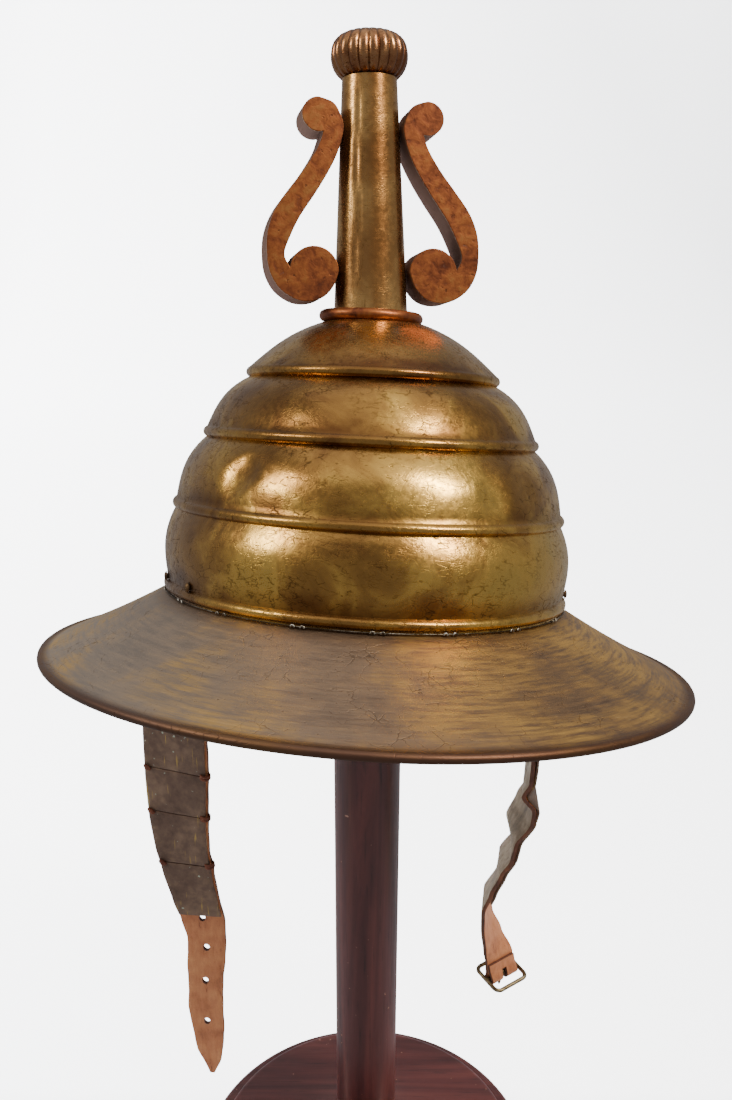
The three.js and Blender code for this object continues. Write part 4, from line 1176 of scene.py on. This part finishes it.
# %% Scrolls and collar
def copper(name, frame_of, boards):
    finish, tree, shader = new_finish(name, 0.85)
    place = own_place(tree, frame_of)
    broad, patch = grain(tree, place, 45, 4, 0.6, 0.5), grain(tree, place, 210, 5, 0.65, 0.4)
    tone = blend_of(tree, broad, patch, 0.45)
    tones = paints((92, 48, 32), (126, 70, 42), (144, 84, 46), (142, 94, 52))
    colour = steps(tree, tone, list(zip((0.38, 0.48, 0.55, 0.64), tones)))
    spots = steps(tree, grain(tree, place, 330, 3, 0.6), [(0.3, 0.7), (0.37, 0.0)])
    colour = blend_colour(tree, spots, colour, paint(70, 40, 30))
    dull = steps(tree, patch, [(0.35, 0.36), (0.65, 0.48)])
    if boards:
        depth = work_out(tree, "ABSOLUTE", parts_of(tree, place)["Y"])
        wave = times(tree, minus(tree, patch, 0.5), 0.0012)
        edge = times(tree, plus(tree, depth, wave), 100.0)
        sawn = steps(tree, edge, [(0.90, 1.0), (0.935, 0.0)])
        worn = steps(tree, edge, [(0.84, 0.0), (0.905, 0.8), (0.93, 0.0)])
        colour = blend_colour(tree, sawn, colour, paint(92, 74, 68))
        colour = blend_colour(tree, worn, colour, paint(148, 134, 118))
        dull = plus(tree, dull, times(tree, sawn, 0.4), True)
        face = minus(tree, 1.0, sawn)
        for socket, most in (("Metallic", 0.85), ("Specular IOR Level", 0.5)):
            tree.links.new(times(tree, face, most), shader.inputs[socket])
    tree.links.new(colour, shader.inputs["Base Color"])
    tree.links.new(dull, shader.inputs["Roughness"])
    relief(tree, shader, plus(tree, patch, times(tree, spots, -0.3)), 0.0004, 0.5)
    return finish


scroll_copper = copper("scroll lacquer", FINIAL, True)
dress(scroll_left, scroll_copper)
dress(scroll_right, scroll_copper)
dress(collar, copper("collar lacquer", SEAT, False))

# %% [markdown]
# ## Leather, plates and small metal
# The leather is an old red tan, greyer on its flesh side and darker at its cut edges, with a grain of fine
# cells and lengthwise cracks. The plates are darkened brass with a few bright scratches and pale spots.
# The buckle is worn to a pale satin.

# %% Leather
def tan_leather(name, tones, dark, loose):
    finish, tree, shader = new_finish(name, 0.0, Specular_IOR_Level=0.35)
    place = own_place(tree)
    long_way = moved(tree, place, Scale=(1, 1, 0.25))
    broad, streak = grain(tree, place, 60, 5, 0.6), grain(tree, long_way, 420, 5, 0.65)
    tone = blend_of(tree, broad, streak, 0.4)
    colour = steps(tree, tone, [(0.3, tones[0]), (0.48, tones[1]), (0.68, tones[2])])
    cells = add(tree, "ShaderNodeTexVoronoi", {"Vector": place, "Scale": 1300.0}, feature="DISTANCE_TO_EDGE")
    pores = steps(tree, cells.outputs["Distance"], [(0.0, 0.6), (0.12, 0.0)])
    cracks = steps(tree, streak, [(0.3, 0.8), (0.38, 0.0)])
    marks = larger(tree, times(tree, pores, 0.35), cracks)
    colour = blend_colour(tree, times(tree, marks, 0.7), colour, dark)
    tree.links.new(colour, shader.inputs["Base Color"])
    tree.links.new(steps(tree, broad, [(0.3, 0.5 + loose), (0.7, 0.68 + loose)]), shader.inputs["Roughness"])
    relief(tree, shader, minus(tree, streak, times(tree, marks, 0.8)), 0.0003, 0.6)
    return finish


TAN_TONES = paints((140, 80, 50), (192, 120, 78), (216, 148, 100))
SUEDE_TONES = paints((92, 76, 58), (130, 112, 90), (168, 150, 126))
EDGE_TONES = paints((62, 40, 32), (100, 62, 48), (136, 86, 62))
tan = tan_leather("tan leather", TAN_TONES, paint(84, 44, 30), 0)
suede = tan_leather("suede side", SUEDE_TONES, paint(64, 48, 36), 0.2)
edge_leather = tan_leather("dark edge", EDGE_TONES, paint(34, 22, 18), 0.1)


def dress_leather(piece, strap, inner):
    """Tan on the face, an inner finish on the flesh side, and dark leather round the cut edge."""
    dress(piece, tan)
    for finish in (inner, edge_leather):
        piece.data.materials.append(finish)
    counts = [0, 0, 0]
    for face in piece.data.polygons:
        share = (strap["top"][2] - face.center.z / MM) / strap["drop"]
        across = hang_at(strap, min(1.0, max(0.0, share)))[1]
        out = face.normal.dot(face_of(across))
        index = 2 if abs(face.normal.dot(across)) > 0.7 or abs(out) < 0.35 else (0 if out > 0 else 1)
        face.material_index = index
        counts[index] += 1
    print(piece.name, "faces tan, flesh and edge:", counts)


dress_leather(left_leather, LEFT, suede)
dress_leather(right_leather, RIGHT, suede)


# %% Plates, rivets, buckle and wire
def small_metal(name, tones, dull, metallic, scratches, scale=130):
    finish, tree, shader = new_finish(name, metallic)
    place = own_place(tree)
    broad, patch = grain(tree, place, scale / 3, 4, 0.6, 0.5), grain(tree, place, scale * 2, 5, 0.65)
    tone = blend_of(tree, broad, patch, 0.4)
    colour = steps(tree, tone, [(0.36, tones[0]), (0.5, tones[1]), (0.64, tones[2])])
    if scratches:
        slant = moved(tree, place, Rotation=(0, math.radians(38), 0), Scale=(1, 1, 0.06))
        thin = grain(tree, slant, 900, 2, 0.5)
        bright = steps(tree, thin, [(0.63, 0.0), (0.69, 0.9)])
        bright = times(tree, bright, steps(tree, broad, [(0.48, 0.0), (0.58, 1.0)]))
        colour = blend_colour(tree, bright, colour, paint(186, 154, 84))
        pale = steps(tree, grain(tree, place, 340, 2, 0.4), [(0.255, 0.8), (0.285, 0.0)])
        colour = blend_colour(tree, pale, colour, paint(186, 196, 178))
    tree.links.new(colour, shader.inputs["Base Color"])
    tree.links.new(steps(tree, patch, [(0.3, dull), (0.7, dull + 0.16)]), shader.inputs["Roughness"])
    relief(tree, shader, patch, 0.0003, 0.5)
    return finish


PLATE_TONES = paints((92, 70, 60), (116, 92, 78), (142, 116, 96))
IRON_TONES = paints((58, 42, 30), (92, 70, 48), (128, 100, 66))
BUCKLE_TONES = paints((84, 68, 50), (132, 114, 86), (176, 160, 128))
STEEL_TONES = paints((70, 62, 50), (136, 128, 116), (214, 212, 206))
DULL_TONES = paints((44, 34, 24), (70, 58, 44), (150, 144, 134))
THONG_TONES = paints((70, 36, 26), (106, 56, 38), (134, 78, 54))
plate_metal = small_metal("darkened plate", PLATE_TONES, 0.5, 0.35, True)
for plate in plates.values():
    dress(plate, plate_metal)
iron = small_metal("old iron", IRON_TONES, 0.45, 0.8, False)
for rivet in rivets.values():
    dress(rivet, iron)
buckle_metal = small_metal("worn buckle", BUCKLE_TONES, 0.3, 1.0, False, 300)
dress(buckle, buckle_metal)
dress(tongue, buckle_metal)
dress(seam_stitches, small_metal("seam steel", STEEL_TONES, 0.3, 1.0, False, 400))
dress(wire, small_metal("dull wire", DULL_TONES, 0.4, 1.0, False, 160))
dress(lacing, tan_leather("lace thong", THONG_TONES, paint(40, 22, 16), 0))

# %% [markdown]
# ## Varnished mahogany
# The grain runs up the post and across the base. Stretched noise gives fine dark pores, and a clear
# coat over the dark red stain gives the long, sharp reflections of varnish.

# %% Varnished mahogany
def mahogany(name, stretch):
    finish, tree, shader = new_finish(name, 0.0, Coat_Weight=0.2, Coat_Roughness=0.14)
    place = own_place(tree)
    along = moved(tree, place, Scale=stretch)
    figure, pores = grain(tree, along, 90, 5, 0.6, 0.8), grain(tree, along, 620, 4, 0.6)
    tones = paints((58, 22, 22), (74, 31, 30), (92, 42, 38))
    colour = steps(tree, figure, list(zip((0.34, 0.5, 0.66), tones)))
    dark = steps(tree, pores, [(0.3, 0.5), (0.42, 0.0)])
    colour = blend_colour(tree, dark, colour, paint(26, 8, 10))
    nicks = steps(tree, grain(tree, place, 260, 2, 0.4), [(0.235, 0.8), (0.26, 0.0)])
    colour = blend_colour(tree, nicks, colour, paint(150, 104, 84))
    tree.links.new(colour, shader.inputs["Base Color"])
    tree.links.new(steps(tree, pores, [(0.3, 0.42), (0.6, 0.3)]), shader.inputs["Roughness"])
    relief(tree, shader, minus(tree, pores, nicks), 0.0002, 0.35)
    return finish


dress(stand_post, mahogany("post varnish", (1, 1, 0.06)))
dress(stand_base, mahogany("base varnish", (0.06, 1, 1)))

# %% [markdown]
# ## Floor, light and camera
# The stand is on pale paper that curves up behind it and glows there like a lit wall, while in front of the
# stand the paper is painted darker as painted shade. A tall window of soft light is at the left side, and a
# stronger one, a little warmer, at the right front. A wide weak one is overhead.
# Polished metal shows what surrounds it, so the windows are panels with a shape of their own, and the
# paper is kept out of the reflections. The camera looks down 24 degrees from a little over half a metre.

# %% Floor and backdrop
def backdrop():
    """Pale paper that glows behind the stand, brighter low down and to the left, and is painted darker in
    front of it as painted shade.
    """
    finish, tree, shader = new_finish("pale backdrop", 0.0, Roughness=0.9, Specular_IOR_Level=0.1)
    axes = parts_of(tree, own_place(tree))
    right = plus(tree, times(tree, axes["X"], 0.45), 0.5, True)
    high = times(tree, axes["Z"], 0.3, True)
    shade = plus(tree, right, high, True)
    glow = steps(tree, shade, [(0.1, paint(252, 253, 255)), (0.9, paint(160, 161, 163))])
    behind = steps(tree, plus(tree, axes["Y"], 0.5, True), [(0.36, 0.0), (0.56, 1.0)])
    low_part = steps(tree, times(tree, axes["Z"], 0.5, True), [(0.38, 1.0), (0.85, 0.0)])
    aside = times(tree, work_out(tree, "ABSOLUTE", axes["X"]), 0.5, True)
    middle = steps(tree, aside, [(0.35, 1.0), (0.98, 0.0)])
    lit = times(tree, times(tree, behind, low_part), middle)
    glow = blend_colour(tree, lit, (0, 0, 0, 1), glow)
    tree.links.new(glow, shader.inputs["Emission Color"])
    shader.inputs["Emission Strength"].default_value = 7.0
    # Painted shade: the paper in front of the stand is darker than the paper behind it.
    paper = blend_colour(tree, behind, paint(206, 206, 208), paint(240, 240, 242))
    tree.links.new(paper, shader.inputs["Base Color"])
    return finish


put_down_all()
bpy.ops.mesh.primitive_plane_add(size=1)
floor = bpy.context.object
floor.name = "studio_floor"
bpy.ops.object.mode_set(mode="EDIT")
bpy.ops.mesh.select_all(action="SELECT")
bpy.ops.transform.resize(value=(9, 4.5, 1), center_override=(0, 0, 0))
bpy.ops.transform.translate(value=(0, -0.65, -0.0006))
bpy.ops.object.mode_set(mode="OBJECT")
CURVE_STEPS = 12
back_edge = max(v.co.y for v in floor.data.vertices)
for edge in floor.data.edges:
    edge.select = all(abs(floor.data.vertices[i].co.y - back_edge) < 1e-4 for i in edge.vertices)
for face in floor.data.polygons:
    face.select = False
for v in floor.data.vertices:
    v.select = abs(v.co.y - back_edge) < 1e-4
bpy.ops.object.mode_set(mode="EDIT")
bpy.ops.mesh.select_mode(type="EDGE")
for i in range(CURVE_STEPS):
    t = math.radians(90 * (i + 0.5) / CURVE_STEPS)
    step = (0, 0.1 * math.cos(t), 0.1 * math.sin(t))
    bpy.ops.mesh.extrude_region_move(TRANSFORM_OT_translate={"value": step})
bpy.ops.mesh.extrude_region_move(TRANSFORM_OT_translate={"value": (0, 0, 4)})
bpy.ops.object.mode_set(mode="OBJECT")
smooth(floor, 60)
floor.data.materials.append(backdrop())
floor.visible_glossy = False
floor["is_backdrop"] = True


# %% Lights and camera
HAT_MIDDLE = (0, 0, 0.45)


def panel(name, place, aim, size, power, colour=(1, 1, 1)):
    put_down_all()
    bpy.ops.object.light_add(type="AREA", location=place)
    light = bpy.context.object
    light.name = name
    light.data.shape, light.data.size, light.data.size_y = "RECTANGLE", size[0], size[1]
    light.data.energy, light.data.color = power, colour
    light.rotation_euler = (Vector(aim) - Vector(place)).to_track_quat("-Z", "Y").to_euler()
    light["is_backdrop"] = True


def towards(bearing, height, distance=1.8):
    """A place seen from the hat: bearing is degrees from the front to the right, height degrees up."""
    b, h = math.radians(bearing), math.radians(height)
    flat = distance * math.cos(h)
    return (flat * math.sin(b), -flat * math.cos(b), HAT_MIDDLE[2] + distance * math.sin(h))


panel("window left", towards(-82, 35), HAT_MIDDLE, (0.36, 0.7), 14, (1.0, 0.96, 0.84))
panel("window right", towards(62, 52), HAT_MIDDLE, (0.36, 0.75), 34, (1.0, 0.93, 0.78))
panel("ceiling", (0, 0.3, 2.4), (0, 0.3, 0), (2.6, 2.4), 15)

world = bpy.data.worlds.new("studio air")
bpy.context.scene.world = world
world.use_nodes = True
air = world.node_tree.nodes["Background"].inputs
air["Color"].default_value = (0.80, 0.82, 0.85, 1)
air["Strength"].default_value = 0.44

put_down_all()
bpy.ops.object.camera_add(location=(-0.00104, -0.5621, 0.6722))
camera = bpy.context.object
camera.rotation_mode = "QUATERNION"
down = math.radians(23.93)
look = Vector((0, math.cos(down), -math.sin(down)))
tilt = Matrix.Rotation(math.radians(0.19), 3, "Z").to_quaternion()
camera.rotation_quaternion = look.to_track_quat("-Z", "Y") @ tilt
camera.data.sensor_width, camera.data.lens = 36, 1250 / 1100 * 36
camera.data.clip_start, camera.data.clip_end = 0.01, 50
bpy.context.scene.camera = camera

# %% [markdown]
# ## The dressed size
# The size of the dressed model, leaving out the paper, is printed.

# %% Sizes and finish
low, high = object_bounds()
print("size as dressed:", [round(v, 3) for v in high - low])
